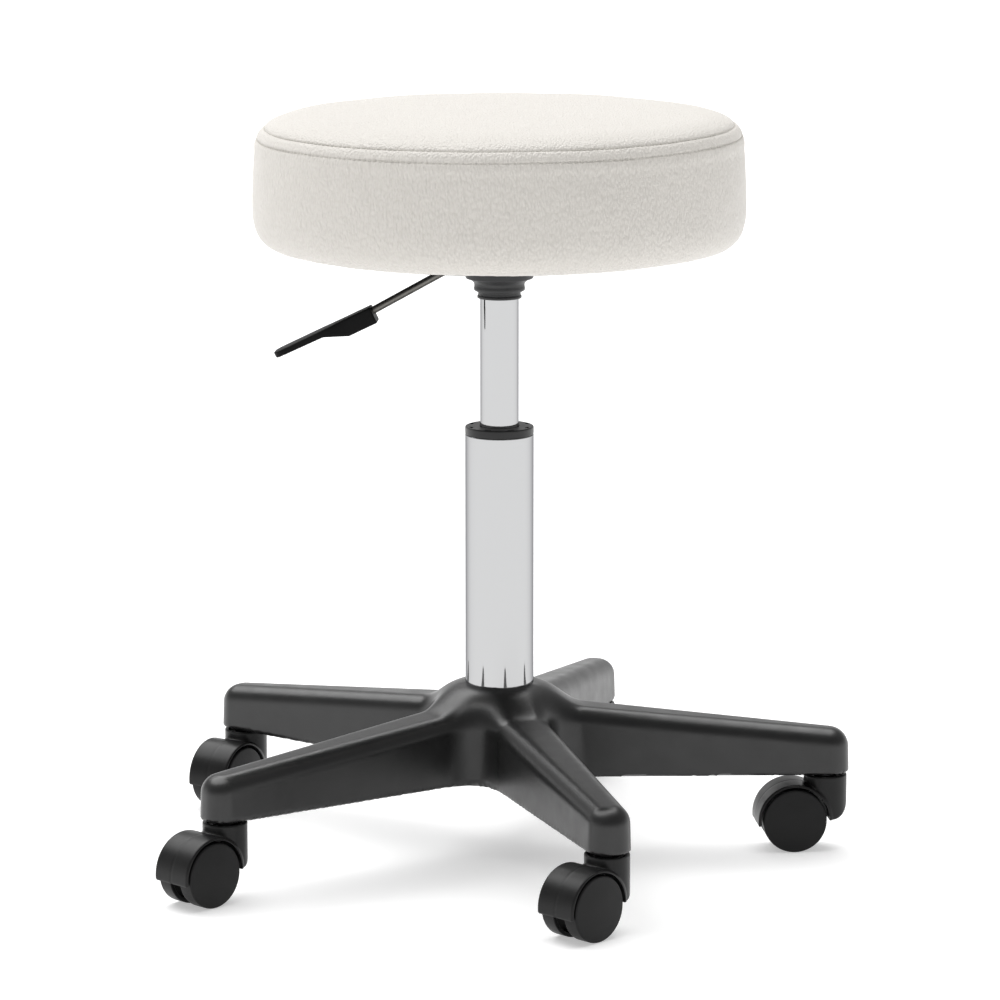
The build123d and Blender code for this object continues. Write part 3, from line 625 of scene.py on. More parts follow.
def hub_hollow():
    """The pockets under the base, less the ribs, the boss and the stem posts."""
    pocket = arm_core(HUB_BOSS + 3, HOLLOW_LOW, POCKET_STEPS)
    hollow = cutter(drum(HUB_WALL - BASE_WALL, HOLLOW_LOW, HUB_POCKET_TOP, 96))
    for k in range(ARM_COUNT):
        cut(hollow, cutter(spun(pocket, k * ARM_STEP)), "UNION")
    cut(hollow, cutter(drum(HUB_BOSS, CUTTER_LOW, HUB_TOP, 96)))
    kept = [drum(SOCKET_POST, CUTTER_LOW, HUB_TOP, 48, (STEM_CIRCLE, 0))]
    kept.append(slab_part(HUB_BOSS - 2, STEM_CIRCLE, -RIB_HALF, RIB_HALF, SPINE_LOW, HUB_TOP))
    for n in range(1, RIB_COUNT + 1):
        x = HUB_BOSS + RIB_SPACING * n
        kept.append(slab_part(x - RIB_HALF, x + RIB_HALF, -ARM_ROOT_HALF, ARM_ROOT_HALF, RIB_LOW, HUB_TOP))
    for k in range(ARM_COUNT):
        for form in kept:
            cut(hollow, cutter(spun(form, k * ARM_STEP)))
    return hollow


def build_star():
    """The moulded base, sculpted outside and hollow below."""
    arm = arm_core(0, ARM_BOTTOM, ROUGH_STEPS)
    rough = [spun(arm, k * ARM_STEP) for k in range(ARM_COUNT)]
    rough.append(drum(HUB_WALL, ARM_BOTTOM, HUB_TOP - ROUGH_DROP))
    star = join_parts("star_base_moulding", rough, "base_nylon")
    sculpt(star, star_field, 2.0)
    cut(star, hub_hollow())
    cut(star, cutter(drum(COLUMN_R, CUTTER_LOW, CUTTER_HIGH, 160)))
    bore = drum(SOCKET_BORE, CUTTER_LOW, SOCKET_TOP, 32, (STEM_CIRCLE, 0))
    for k in range(ARM_COUNT):
        cut(star, cutter(spun(bore, k * ARM_STEP)))
    shade(star)
    fit(star, "base", "base_nylon", "star_base")


build_star()


# ---------------------------------------------------------------- casters
# Each caster is drawn with its stem on Z and its wheels trailing along -X
CASTER_TURNS = (5.5, 30.0, 57.0, 45.5, 45.0)  # degrees, as they stand at rest
TRAIL = 24.5
WHEEL_R = 23.5
WHEEL_OUTER = 18.2
WHEEL_INNER = 5.2
WHEEL_DISC = WHEEL_OUTER - 4.0
WHEEL_DOME = 1.25
WHEEL_BORE = 3.05
WHEEL_HUB = 6.0
WHEEL_CUP = 20.7
TREAD_EDGE = 1.5
FENDER_IN = 25.6
FENDER_OUT = 27.2
FENDER_HALF = 16.8
FENDER_TAIL_DROP = 3.6
FENDER_EDGE = 1.3
PARTING_DEPTH = 0.15
PARTING_WIDTH = 0.9
NECK_R = 16.0
NECK_TOP = 55.9
NECK_EDGE = 1.5
NECK_TOP_EDGE = 0.9
NECK_FILLET = 1.6
NOSE_CORNER = 12.5
HOOD_LOW_EDGE = 0.35
HOOD_VOXEL = 0.85
STEM_R = 5.5
STEM_LOW = 36.0
AXLE_R = 3.0
AXLE_END = 13.5
WEB_HALF = 4.5
WEB_BACK = -TRAIL - 9
WEB_FRONT = 1.0
WEB_LOW = WHEEL_R - 8
PAST = 5.0  # cutters reach this far past the hood
FAR = 99.0  # further out than any point of a caster
CUP_IN = 8.6
CUP_OUT = 13.7
CUP_DEPTH = 2.6


def hood_field(p):
    """A fender over both wheels with its neck and a faint parting line."""
    x, y, z = p[:, 0], np.abs(p[:, 1]), p[:, 2]
    from_axle = np.hypot(x + TRAIL, z - WHEEL_R)
    parting = PARTING_DEPTH * hill(y, PARTING_WIDTH)
    fender = both(from_axle - FENDER_OUT + parting, y - FENDER_HALF, FENDER_EDGE)
    front = both(x - NECK_R, WHEEL_R - z, NOSE_CORNER)
    neck = both(np.hypot(x, y) - NECK_R, front, NECK_EDGE)
    neck = both(neck, z - NECK_TOP, NECK_TOP_EDGE)
    body = either(fender, neck, NECK_FILLET)
    low = np.where(x < -TRAIL, WHEEL_R - FENDER_TAIL_DROP, WHEEL_R)
    return both(body, low - z, HOOD_LOW_EDGE)


def hood_form():
    """One fender with its neck, web, axle bore and stem socket."""
    # The rough form lies a little inside the finished one
    rough = [
        drum_y(FENDER_OUT - 0.6, FENDER_HALF - 0.6, (-TRAIL, WHEEL_R)),
        drum(NECK_R - 0.4, WHEEL_R, NECK_TOP - 0.3, 96),
    ]
    hood = join_parts("caster_hood_form", rough, "caster_plastic")
    cut(hood, cutter(slab_part(-FAR, FAR, -FAR, FAR, -FAR, WHEEL_R - FENDER_TAIL_DROP)))
    sculpt(hood, hood_field, HOOD_VOXEL)
    cavity = cutter(drum_y(FENDER_IN, FENDER_HALF + PAST, (-TRAIL, WHEEL_R), 160))
    cut(cavity, cutter(slab_part(WEB_BACK, WEB_FRONT, -WEB_HALF, WEB_HALF, WEB_LOW, FAR)))
    cut(hood, cavity)
    cut(hood, cutter(drum_y(AXLE_R, WEB_HALF + PAST, (-TRAIL, WHEEL_R), 48)))
    cut(hood, cutter(drum(STEM_R, STEM_LOW, NECK_TOP + PAST, 48)))
    cup = cutter(drum(CUP_OUT, NECK_TOP - CUP_DEPTH, NECK_TOP + PAST, 96))
    cut(cup, cutter(drum(CUP_IN, 0, FAR, 64)))
    cut(hood, cup)
    shade(hood)
    return hood


def wheel_form(side):
    """A cupped wheel with a domed outer face and a rounded tread."""
    rim_r, rim_y = WHEEL_R - TREAD_EDGE, WHEEL_OUTER - WHEEL_DOME
    outline = [(0, AXLE_END), (WHEEL_BORE, AXLE_END), (WHEEL_BORE, WHEEL_INNER)]
    outline += [(WHEEL_HUB, WHEEL_INNER), (WHEEL_HUB, WHEEL_DISC), (WHEEL_CUP, WHEEL_DISC)]
    outline += [(WHEEL_CUP, WHEEL_INNER), (WHEEL_R, WHEEL_INNER), (WHEEL_R, rim_y)]
    # The last point only says which way the tread runs, so it goes
    outline = softened(outline, 0.5, 3)[:-1]
    for t in np.linspace(0, 1, 7):
        angle = t * math.pi / 2
        r = rim_r + TREAD_EDGE * math.cos(angle)
        outline.append((r, rim_y - TREAD_EDGE + TREAD_EDGE * math.sin(angle)))
    for t in np.linspace(0.04, 1, 16):
        r = rim_r * (1 - t)
        outline.append((r, rim_y + WHEEL_DOME * (1 - (r / rim_r) ** 2)))
    outline[-1] = (0, WHEEL_OUTER)
    vertices, faces = lathe_part(outline, 112)
    placed = [(x - TRAIL, side * z, y + WHEEL_R) for x, y, z in vertices]
    return new_object("caster_wheel_form", placed, faces, "wheel_nylon")


def build_casters():
    """One hood and two wheels on every arm, all on the same three meshes."""
    forms = {"hood": hood_form(), "left": wheel_form(1), "right": wheel_form(-1)}
    for k in range(ARM_COUNT):
        number = k + 1
        angle = k * ARM_STEP
        stem = Vector((math.cos(angle), math.sin(angle), 0)) * STEM_CIRCLE * MM
        place = Matrix.Translation(stem) @ Matrix.Rotation(math.radians(CASTER_TURNS[k]), 4, "Z")
        hood = copy_of(forms["hood"], f"caster_{number}_hood_shell")
        hood.matrix_world = place
        fit(hood, f"caster_{number}", "caster_plastic", f"caster_{number}_hood")
        for side in ("left", "right"):
            wheel = copy_of(forms[side], f"caster_{number}_{side}_wheel")
            wheel.matrix_world = place
            fit(wheel, f"wheel_{number}_{side}", "wheel_nylon", f"caster_{number}_wheel_{side}")
    for form in forms.values():
        bpy.data.objects.remove(form)


build_casters()


# ---------------------------------------------------------------- gas lift
COLUMN_FOOT_R = 23.7
COLUMN_FOOT = 58.5
COLUMN_FLOOR = 63.5
COLUMN_WALL = 2.0
COLUMN_TOP = 309.2
CYLINDER_R = 14.0
CYLINDER_LOW = 175.0
CYLINDER_TAPER = 412.0
CYLINDER_TOP = 434.0
CYLINDER_TOP_R = 13.4
ROD_FOOT_R = 4.05
SLEEVE_TOP = 315.2
SLEEVE_LOW = 226.0
SLEEVE_GAP = 0.05  # between the sleeve and either tube
SLOT_COUNT = 8
SLOT_IN = 20.7
SLOT_OUT = 22.9
SLOT_HALF = 2.5
SLOT_DEPTH = 1.2
BOOT_BORE = CYLINDER_R + 0.1
# The boot's section as (r, z), up the outside and down its bore
BOOT_OUTLINE = (
    (BOOT_BORE, 409.0),
    (16.1, 409.0),
    (16.1, 410.6),
    (15.5, 411.3),
    (15.3, 413.9),
    (18.3, 414.6),
    (18.6, 416.0),
    (18.2, 418.4),
    (18.5, 420.2),
    (20.3, 421.9),
    (22.5, 423.0),
    (24.6, 423.6),
    (24.8, 429.0),
    (17.1, 429.0),
    (17.1, 414.2),
    (BOOT_BORE, 414.0),
)


def build_column():
    """The outer tube, which tapers into the base and has a floor for the rod."""
    inner = COLUMN_R - COLUMN_WALL
    outline = [(ROD_FOOT_R, COLUMN_FOOT), (COLUMN_FOOT_R, COLUMN_FOOT), (COLUMN_R, HUB_TOP)]
    outline += [(COLUMN_R, COLUMN_TOP), (inner, COLUMN_TOP), (inner, HUB_TOP)]
    outline += [(COLUMN_FOOT_R - COLUMN_WALL, COLUMN_FLOOR), (ROD_FOOT_R, COLUMN_FLOOR)]
    part = lathe_part(softened(outline, 0.7, 3, True), 224)
    column = new_object("column_tube", *part, "chrome")
    fit(column, "base", "chrome", "outer_column")


def build_cylinder():
    """The inner tube, with its taper for the seat plate."""
    inner = CYLINDER_R - COLUMN_WALL
    outline = [(inner, CYLINDER_LOW), (CYLINDER_R, CYLINDER_LOW), (CYLINDER_R, CYLINDER_TAPER)]
    outline += [(CYLINDER_TOP_R, CYLINDER_TOP), (CYLINDER_TOP_R - COLUMN_WALL, CYLINDER_TOP)]
    outline += [(inner, CYLINDER_TAPER)]
    part = lathe_part(softened(outline, 0.5, 3, True), 160)
    cylinder = new_object("gas_cylinder_tube", *part, "chrome")
    fit(cylinder, "seat", "chrome", "gas_cylinder")


def build_sleeve():
    """Flanged bush with a ring of shallow slots on top."""
    inner = CYLINDER_R + SLEEVE_GAP
    wall = COLUMN_R - COLUMN_WALL - SLEEVE_GAP
    outline = [(inner, SLEEVE_LOW), (wall, SLEEVE_LOW), (wall, COLUMN_TOP)]
    outline += [(COLUMN_R, COLUMN_TOP), (COLUMN_R, SLEEVE_TOP), (inner, SLEEVE_TOP)]
    part = lathe_part(softened(outline, 1.1, 5, True), 192)
    sleeve = new_object("sleeve_bush", *part, "sleeve_plastic")
    slot = slab_part(SLOT_IN, SLOT_OUT, -SLOT_HALF, SLOT_HALF, SLEEVE_TOP - SLOT_DEPTH, SLEEVE_TOP + 3)
    for k in range(SLOT_COUNT):
        cut(sleeve, cutter(spun(slot, (k + 0.5) * 2 * math.pi / SLOT_COUNT)))
    shade(sleeve)
    fit(sleeve, "base", "sleeve_plastic", "guide_sleeve")


def build_boot():
    """Stepped rubber boot that flares out under the seat."""
    part = lathe_part(softened(BOOT_OUTLINE, 0.55, 4, True), 160)
    boot = new_object("boot_skin", *part, "boot_rubber")
    fit(boot, "seat", "boot_rubber", "dust_boot")


build_column()
build_cylinder()
build_sleeve()
build_boot()


# ---------------------------------------------------------------- lever grip
LEVER_AZIMUTH = math.radians(176.0)
LEVER_SLOPE = math.radians(29.1)
PIVOT = (22.0, 437.6)  # run from the column's axis, and height
HANDLE_START = 80.0
HANDLE_SOCKET = 24.0
HANDLE_LENGTH = 78.5
HANDLE_BLOCK = 23.0
HANDLE_BLADE = 40.0
HANDLE_TOP = 3.9
HANDLE_LOW = -9.0
BLADE_LOW = -1.5
BLADE_TIP_LOW = -0.9
BLADE_HALF = 12.0
BLOCK_HALF = 9.0
HANDLE_TURN = math.radians(3.2)
LEVER_ROD_R = 2.8
TIP_ROUND = 9.0
TIP_POWER = 2.6
TIP_EDGE = 1.5
MOUTH_LENGTH = 0.8  # the grip narrows by MOUTH_ROUND over this at its start
MOUTH_ROUND = 0.6
BLOCK_POWER = 9.0  # the higher the power, the squarer the section
BLADE_POWER = 6.5
# Places down the grip's block and along its blade, in millimetres
BLOCK_STATIONS = (0, 0.15, 0.4, 0.8, 2, 5, 9, 13, 17, 20, 21.5, 22.5, 23.0, 23.5, 24.2)
BLADE_STATIONS = tuple(25.5 + 1.5 * k for k in range(29))


def ease(x, start, end):
    """Runs from 0 at the start to 1 at the end, level at both."""
    t = min(max((x - start) / (end - start), 0), 1)
    return t * t * (3 - 2 * t)


def grip_section(x, points=72):
    """One rounded-rectangle section of the grip, x millimetres down its length."""
    blade = ease(x, HANDLE_BLOCK - 1, HANDLE_BLADE + 2)
    ramp = min(max((x - HANDLE_BLOCK) / (HANDLE_BLADE - HANDLE_BLOCK), 0), 1)
    low = HANDLE_LOW + (BLADE_LOW - HANDLE_LOW) * ramp
    low += (BLADE_TIP_LOW - BLADE_LOW) * max(x - HANDLE_BLADE, 0) / (HANDLE_LENGTH - HANDLE_BLADE)
    half = BLOCK_HALF + (BLADE_HALF - BLOCK_HALF) * blade
    to_end = (x - HANDLE_LENGTH + TIP_ROUND) / TIP_ROUND
    if to_end > 0:
        half *= max(1 - to_end**TIP_POWER, 0) ** (1 / TIP_POWER)
    tall = (HANDLE_TOP - low) / 2
    middle = (HANDLE_TOP + low) / 2
    near_end = (x - HANDLE_LENGTH + TIP_EDGE) / TIP_EDGE
    if near_end > 0:
        tall *= 0.45 + 0.55 * math.sqrt(max(1 - near_end**2, 0))
    from_start = 1 - min(x / MOUTH_LENGTH, 1)
    half -= MOUTH_ROUND * from_start
    tall -= MOUTH_ROUND * from_start
    power = BLOCK_POWER + (BLADE_POWER - BLOCK_POWER) * blade
    ring = []
    for k in range(points):
        angle = 2 * math.pi * k / points
        cosine, sine = math.cos(angle), math.sin(angle)
        y = half * math.copysign(abs(cosine) ** (2 / power), cosine)
        z = middle + tall * math.copysign(abs(sine) ** (2 / power), sine)
        ring.append((x, y, z))
    return ring


def lever_frame(along):
    """From a frame this far down the rod, with +X along it, to the scene's."""
    azimuth = Matrix.Rotation(LEVER_AZIMUTH, 4, "Z")
    pivot = Matrix.Translation((PIVOT[0] * MM, 0, PIVOT[1] * MM))
    down = Matrix.Rotation(LEVER_SLOPE, 4, "Y")
    return azimuth @ pivot @ down @ Matrix.Translation((along * MM, 0, 0))


def build_grip():
    """The paddle on the rod's end; its sections crowd together towards the tip."""
    tip = [HANDLE_LENGTH - TIP_ROUND * (1 - t) ** 1.6 for t in np.linspace(0.03, 0.985, 22)]
    sections = [grip_section(x) for x in (*BLOCK_STATIONS, *BLADE_STATIONS, *tip)]
    grip = new_object("lever_grip", *loft(sections), "handle_plastic")
    grip.data.transform(Matrix.Rotation(-HANDLE_TURN, 4, "Y"))
    bore_vertices, bore_faces = drum(LEVER_ROD_R, -9, HANDLE_SOCKET, 48)
    cut(grip, cutter(([(z, x, y) for x, y, z in bore_vertices], bore_faces)))
    shade(grip)
    grip.data.transform(lever_frame(HANDLE_START))
    fit(grip, "lever", "handle_plastic", "lever_handle")


build_grip()


# ---------------------------------------------------------------- seat cushion
# Side view of the upholstery, from the middle of the top to the inner edge of the fold below
SEAT_OUTLINE = (
    (0, 546.0),
    (70, 545.4),
    (120, 544.0),
    (150, 541.9),
    (162, 538.6),
    (169, 534.0),
    (172.4, 530.2),
    (174.5, 526.5),
    (175.9, 516.0),
    (177.4, 498.0),
    (178.0, 481.0),
    (177.1, 466.5),
    (173.6, 456.0),
    (167, 449.6),
    (156, 446.6),
    (144, 446.0),
    (130.6, 446.0),
)
UPPER_SEAM = 5  # places in the outline
LOWER_SEAM = 7
SEAM_TILT = 1.3  # the seams sink this much on the lever's side and rise as much opposite
SEAM_WANDER = 0.25
SEAM_REACH = 26  # rings this near to the seams follow them
SEAM_DEPTH = 0.6
SEAM_WIDTH = 0.8
STITCH_PITCH = 4.2
STITCH_LENGTH = 3.1
STITCH_R = 0.36
STITCH_SINK = 0.2
STITCH_SIDES = 6
STITCH_RINGS = 7
STITCH_COUNT = round(2 * math.pi * SEAT_OUTLINE[UPPER_SEAM][0] / STITCH_PITCH)
AROUND = 800
AROUND_ANGLES = 2 * math.pi * np.arange(AROUND) / AROUND
SKIN_LIFT = 1.3  # thickness of the skin's edge under the seat
SPAN_STEPS = 60  # of the smooth curve between two points of the outline
# The smaller pad that the cloth simulation blows up, from the underside to the top
PAD_OUTLINE = (
    (0, 448.0),
    (130, 448.0),
    (158, 449.5),
    (168, 455.0),
    (172.5, 470.0),
    (172.5, 500.0),
    (169, 522.0),
    (163, 531.0),
    (150, 536.5),
    (120, 539.0),
    (0, 541.0),
)
# How far the skin stands out or in, and how wide each feature is
TOP_RELIEF = 0.15
SIDE_RELIEF = 0.3
STITCH_PULL = 0.35
PULL_WIDTH = 1.5
BAND_SWELL = 0.45
LOWER_SWELL = 0.55
LOWER_SWELL_AT = 5.0
LOWER_SWELL_WIDTH = 3.4
UPPER_SWELL = 0.4
UPPER_SWELL_AT = 4.5
UPPER_SWELL_WIDTH = 3.2
SIDE_WAVE = 0.35
SIDE_RIPPLE = 0.16
SIDE_RIPPLE_LENGTH = 23
PLEATS_WITHIN = 151
PLEAT_HEIGHT = 0.7
PLEAT_SINK = 0.4
HELD_BELOW = 452  # the pad is held to the board under this height
HELD_WITHIN = 158
CLOTH_FRAMES = 20
CLOTH_REACH = 8.0  # the furthest that a point may have moved
RAY_BACK = 25  # rays start this far inside the skin
RAYS_AROUND = 200
ROW_STEP = 3  # rays go out from every third ring
RELIEF_LIMIT = 1.5


def smooth_path(points, per_span):
    """Centripetal Catmull-Rom curve through the points."""
    p = np.array(points, float)
    p = np.vstack([2 * p[0] - p[1], p, 2 * p[-1] - p[-2]])
    out = []
    for i in range(1, len(p) - 2):
        gaps = [np.linalg.norm(p[i + j] - p[i + j - 1]) ** 0.5 for j in range(3)]
        t = np.concatenate([[0], np.cumsum(gaps)])
        for u in np.linspace(t[1], t[2], per_span, endpoint=False):
            a = [
                ((t[j + 1] - u) * p[i - 1 + j] + (u - t[j]) * p[i + j]) / (t[j + 1] - t[j])
                for j in range(3)
            ]
            b = [((t[j + 2] - u) * a[j] + (u - t[j]) * a[j + 1]) / (t[j + 2] - t[j]) for j in range(2)]
            out.append(((t[2] - u) * b[0] + (u - t[1]) * b[1]) / (t[2] - t[1]))
    out.append(p[-2])
    return np.array(out)


class Profile:
    """The outline resampled by length, close together at the seams."""

    def __init__(self):
        fine = smooth_path(SEAT_OUTLINE, SPAN_STEPS)
        gaps = np.linalg.norm(np.diff(fine, axis=0), axis=1)
        length = np.concatenate([[0], np.cumsum(gaps)])
        self.upper = length[UPPER_SEAM * SPAN_STEPS]
        self.lower = length[LOWER_SEAM * SPAN_STEPS]
        stops = [0.6]
        while stops[-1] < length[-1] - 1.0:
            stops.append(stops[-1] + self.step(stops[-1]))
        self.length = np.array(stops + [length[-1]])
        self.r = np.interp(self.length, length, fine[:, 0])
        self.z = np.interp(self.length, length, fine[:, 1])
        dr, dz = np.gradient(self.r, self.length), np.gradient(self.z, self.length)
        size = np.hypot(dr, dz)
        self.out_r, self.out_z = -dz / size, dr / size

    def step(self, here):
        """How far it is to the next ring: wide on top, fine at the seams."""
        if here < self.upper - 12:
            return 3.0
        if min(abs(here - self.upper), abs(here - self.lower)) < 3.2:
            return 0.42
        return 1.25


def swollen_pad():
    """The cover blown up by its foam: a cloth simulation on a slightly smaller pad."""
    pad = new_object("pad", *lathe_part(softened(PAD_OUTLINE, 6, 4), 96), "seat_vinyl")
    remesh(pad, 5.0)
    rest = coordinates(pad)
    held = pad.vertex_groups.new(name="held")
    for i, (x, y, z) in enumerate(rest):
        if z < HELD_BELOW and math.hypot(x, y) < HELD_WITHIN:
            held.add([i], 1.0, "REPLACE")
    cloth = pad.modifiers.new("cloth", "CLOTH")
    settings = cloth.settings
    settings.quality = 6
    settings.mass = 0.4
    settings.tension_stiffness = 20
    settings.compression_stiffness = 20
    settings.shear_stiffness = 8
    settings.bending_stiffness = 1.5
    settings.use_pressure = True
    settings.uniform_pressure_force = 4.0
    settings.effector_weights.gravity = 0
    settings.vertex_group_mass = "held"
    cloth.collision_settings.use_collision = False
    cloth.point_cache.frame_start = 1
    cloth.point_cache.frame_end = CLOTH_FRAMES
    scene = bpy.context.scene
    for number in range(1, CLOTH_FRAMES + 1):
        scene.frame_set(number)
    apply_modifiers(pad)
    scene.frame_set(1)
    moved = coordinates(pad) - rest
    far = np.linalg.norm(moved, axis=1, keepdims=True)
    set_coordinates(pad, rest + moved * np.minimum(1, CLOTH_REACH / np.maximum(far, 1e-6)))
    return pad


def pad_relief(profile):
    """How far the simulated skin stands from its own average, on the profile's rings."""
    pad = swollen_pad()
    points = [tuple(v) for v in coordinates(pad)]
    skin = BVHTree.FromPolygons(points, [tuple(p.vertices) for p in pad.data.polygons])
    bpy.data.objects.remove(pad)
    rows = np.arange(0, len(profile.length), ROW_STEP)
    hits = np.zeros((len(rows), RAYS_AROUND))
    for row, i in enumerate(rows):
        for k in range(RAYS_AROUND):
            angle = 2 * math.pi * k / RAYS_AROUND
            cosine, sine = math.cos(angle), math.sin(angle)
            out = Vector((profile.out_r[i] * cosine, profile.out_r[i] * sine, profile.out_z[i]))
            here = Vector((profile.r[i] * cosine, profile.r[i] * sine, profile.z[i]))
            place, _, _, gone = skin.ray_cast(here - out * RAY_BACK, out)
            hits[row, k] = gone - RAY_BACK if place is not None else 0
    hits -= np.median(hits, axis=1, keepdims=True)
    hits = np.clip(hits, -RELIEF_LIMIT, RELIEF_LIMIT)
    around = np.arange(AROUND) * RAYS_AROUND / AROUND
    wide = np.hstack([hits, hits[:, :1]])
    full = np.stack([np.interp(around, np.arange(RAYS_AROUND + 1), line) for line in wide])
    rings = np.arange(len(profile.length))
    return np.stack([np.interp(rings, rows, column) for column in full.T], axis=1)


def smooth_grid(grid, rounds):
    """Evens out a grid that runs round the seat and down its side."""
    for _ in range(rounds):
        around = (np.roll(grid, 1, axis=1) + np.roll(grid, -1, axis=1) + 2 * grid) / 4
        padded = np.vstack([around[:1], around, around[-1:]])
        grid = (padded[:-2] + padded[2:] + 2 * around) / 4
    return grid


def waves(count, seed):
    """A smooth random wave round the seat, about `count` swings, within +-1."""
    draw = np.random.default_rng(seed)
    total = np.zeros_like(AROUND_ANGLES)
    for n in range(max(count // 2, 1), count * 3 // 2 + 1):
        total += draw.normal() * np.cos(n * AROUND_ANGLES + draw.uniform(0, 2 * math.pi))
    return total / max(np.abs(total).max(), 1e-9)


def seam_slide(profile):
    """How far the seams and the rings near them run above or below their height."""
    tilt = -SEAM_TILT * np.cos(AROUND_ANGLES - math.pi) + SEAM_WANDER * waves(9, 3)
    middle = (profile.upper + profile.lower) / 2
    return tilt[None, :] * hill(profile.length[:, None] - middle, SEAM_REACH)


def cushion_lift(profile, relief):
    """How far the skin stands out: unevenness, seams, puckers and pleats."""
    length, r, z = profile.length[:, None], profile.r[:, None], profile.z[:, None]
    from_upper = length - profile.upper
    from_lower = length - profile.lower
    side = beyond(from_lower - 10, 4)
    lift = relief * (TOP_RELIEF + SIDE_RELIEF * side)
    pull = 0.5 - 0.5 * np.cos(STITCH_COUNT * AROUND_ANGLES)[None, :]
    for gap in (from_upper, from_lower):
        lift -= SEAM_DEPTH * hill(gap, SEAM_WIDTH)
        lift -= STITCH_PULL * pull * hill(gap, PULL_WIDTH)
    # The band between the seams swells, and so does the skin just outside them
    band = (from_upper > 0) & (from_lower < 0)
    across = from_upper / (profile.lower - profile.upper)
    lift += np.where(band, BAND_SWELL * np.sin(math.pi * across), 0)
    below = LOWER_SWELL * hill(from_lower - LOWER_SWELL_AT, LOWER_SWELL_WIDTH)
    lift += below + UPPER_SWELL * hill(from_upper + UPPER_SWELL_AT, UPPER_SWELL_WIDTH)
    # Fine puckers by the seams, and a slow waviness down the side
    lift += 0.15 * waves(150, 5) * np.exp(-np.abs(from_lower - 3) / 7) * (from_lower > 0)
    lift += 0.1 * waves(130, 7) * np.exp(-np.abs(from_upper + 3) / 6) * (from_upper < 0)
    slow_wave = SIDE_WAVE * waves(7, 11)
    ripple = SIDE_RIPPLE * waves(24, 13) * np.sin(length / SIDE_RIPPLE_LENGTH)
    lift += side * (slow_wave + ripple)
    # Pleats where the cover is gathered under the seat
    under = beyond(PLEATS_WITHIN - r, 2.5) * (z < 460)
    pleats = np.abs(np.sin(41 * AROUND_ANGLES + 0.7 * waves(12, 17)))[None, :] ** 3
    lift += under * (PLEAT_HEIGHT * pleats - PLEAT_SINK)
    edge = np.clip((profile.length[-1] - length) / 6, 0, 1)
    return lift * np.where(z < 450, edge, 1)


def cushion_grid(profile, relief, slide):
    """Points of the skin as (ring, around, xyz)."""
    lift = cushion_lift(profile, relief)
    r = profile.r[:, None] + profile.out_r[:, None] * lift
    z = profile.z[:, None] + profile.out_z[:, None] * lift + slide
    return np.stack([r * np.cos(AROUND_ANGLES), r * np.sin(AROUND_ANGLES), z], axis=2)


def build_cushion():
    profile = Profile()
    relief = smooth_grid(pad_relief(profile), 30)
    slide = seam_slide(profile)
    grid = cushion_grid(profile, relief, slide)
    last = (len(profile.length) - 1) * AROUND
    vertices = grid.reshape(-1, 3).tolist()
    faces = []
    for start in range(0, last, AROUND):
        faces += band_faces(start, start + AROUND, AROUND)
    # The top is closed by a fan, the underside by a disc on the dust cloth's back
    faces += fan_faces(0, AROUND, len(vertices))
    vertices.append((0, 0, float(grid[0, :, 2].mean())))
    inside = len(vertices)
    vertices += [(x, y, z + SKIN_LIFT) for x, y, z in grid[-1]]
    faces += band_faces(last, inside, AROUND)
    faces += fan_faces(inside, AROUND, len(vertices))
    vertices.append((0, 0, SEAT_OUTLINE[-1][1] + SKIN_LIFT))
    cushion = new_object("seat_upholstery", vertices, faces, "seat_vinyl")
    fit(cushion, "seat", "seat_vinyl", "seat_cover", "seat_foam")
    build_stitches(profile, slide)


def stitch_part(profile, slide, ring, radius, middle):
    """One short thread run round a middle angle, sunk deeper at its ends."""
    out_r, out_z = profile.out_r[ring], profile.out_z[ring]
    loops = []
    for t in np.linspace(-1, 1, STITCH_RINGS):
        angle = middle + t * STITCH_LENGTH / 2 / radius
        sink = STITCH_SINK + 0.6 * t * t
        thick = STITCH_R * math.sqrt(max(1.05 - t * t, 0.02))
        drop = float(np.interp(angle % (2 * math.pi), AROUND_ANGLES, slide[ring]))
        r = profile.r[ring] - out_r * sink
        z = profile.z[ring] - out_z * sink + drop
        loop = []
        for j in range(STITCH_SIDES):
            turn = 2 * math.pi * j / STITCH_SIDES
            out = thick * math.cos(turn)
            along = thick * math.sin(turn)
            from_axis = r + out * out_r - along * out_z
            height = z + out * out_z + along * out_r
            loop.append((from_axis * math.cos(angle), from_axis * math.sin(angle), height))
        loops.append(loop)
    return loft(loops)


def build_stitches(profile, slide):
    """Short thread runs lying in both seams."""
    parts = []
    for seam, place in ((profile.upper, UPPER_SEAM), (profile.lower, LOWER_SEAM)):
        ring = int(np.argmin(np.abs(profile.length - seam)))
        radius = SEAT_OUTLINE[place][0]
        for n in range(STITCH_COUNT):
            parts.append(stitch_part(profile, slide, ring, radius, 2 * math.pi * n / STITCH_COUNT))
    thread = join_parts("seat_stitching", parts, "thread")
    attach(thread, "seat")


build_cushion()


# ---------------------------------------------------------------- stage and light
TABLE_GLOW = 0.41  # the floor is a light table, lit a little from below
FLOOR_HALF = 20
SKY = ((0.0, 0.95), (0.14, 0.85), (0.3, 0.34), (0.75, 0.3), (1.0, 0.42))  # sine of height, brightness
FRONT_SKY = 0.79  # strength on the camera's side
BACK_SKY = 1.38
SUN_TILT_DEG = (-16, -12, 0)
SUN_SPREAD_DEG = 70
SUN_STRENGTH = 3.65

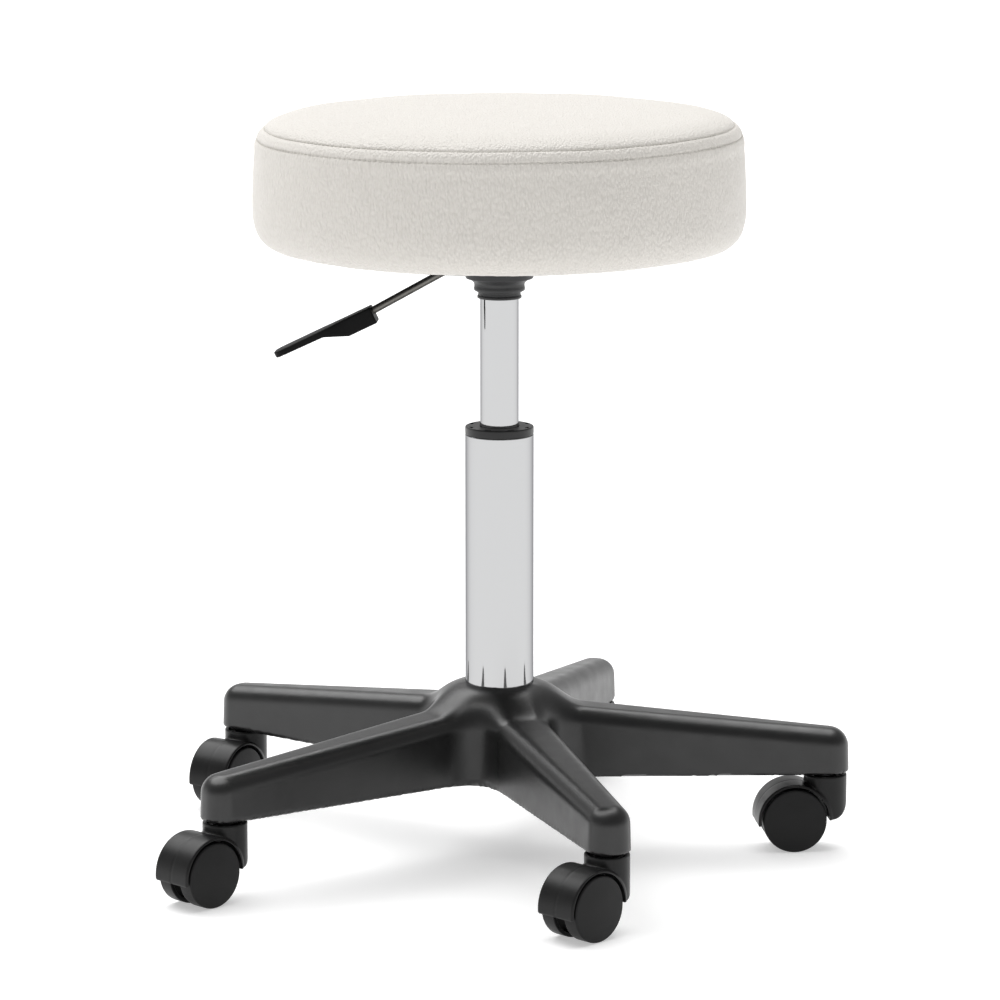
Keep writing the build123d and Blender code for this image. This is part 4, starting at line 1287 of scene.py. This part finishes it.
floor_corners = [(x * FLOOR_HALF, y * FLOOR_HALF, 0) for x, y in ((-1, -1), (1, -1), (1, 1), (-1, 1))]
floor_mesh = bpy.data.meshes.new("floor")
floor_mesh.from_pydata(floor_corners, [], [(0, 1, 2, 3)])
floor = bpy.data.objects.new("floor", floor_mesh)
bpy.context.collection.objects.link(floor)
paper = Shader("floor_paper", (0.75, 0.75, 0.75), 0.9, Specular_IOR_Level=0.1)
paper.vary_rough(paper.noise(80, 2), 0.02)
paper.base.inputs["Emission Color"].default_value = (1, 1, 1, 1)
paper.base.inputs["Emission Strength"].default_value = TABLE_GLOW
floor_mesh.materials.append(paper.material)


def light_sky():
    """A studio round the stool: bright low down and behind, dimmer above."""
    world = bpy.context.scene.world or bpy.data.worlds.new("world")
    bpy.context.scene.world = world
    world.use_nodes = True
    nodes, links = world.node_tree.nodes, world.node_tree.links
    direction = nodes.new("ShaderNodeTexCoord").outputs["Generated"]
    split = nodes.new("ShaderNodeSeparateXYZ")
    links.new(direction, split.inputs[0])
    ramp = nodes.new("ShaderNodeValToRGB")
    while len(ramp.color_ramp.elements) < len(SKY):
        ramp.color_ramp.elements.new(0.5)
    for element, (place, level) in zip(ramp.color_ramp.elements, SKY):
        element.position = place
        element.color = (level, level, level, 1)
    links.new(split.outputs["Z"], ramp.inputs["Fac"])
    links.new(ramp.outputs["Color"], nodes["Background"].inputs["Color"])
    depth = nodes.new("ShaderNodeMapRange")
    depth.inputs["From Min"].default_value = -1
    depth.inputs["To Min"].default_value = FRONT_SKY
    depth.inputs["To Max"].default_value = BACK_SKY
    links.new(split.outputs["Y"], depth.inputs["Value"])
    links.new(depth.outputs["Result"], nodes["Background"].inputs["Strength"])


def light_sun():
    """One broad light overhead, for the soft shadow."""
    light = bpy.data.lights.new("overhead", "SUN")
    light.energy = SUN_STRENGTH
    light.angle = math.radians(SUN_SPREAD_DEG)
    obj = bpy.data.objects.new("overhead", light)
    obj.rotation_euler = [math.radians(tilt) for tilt in SUN_TILT_DEG]
    bpy.context.collection.objects.link(obj)


light_sky()
light_sun()
bpy.context.scene.view_settings.view_transform = "Standard"
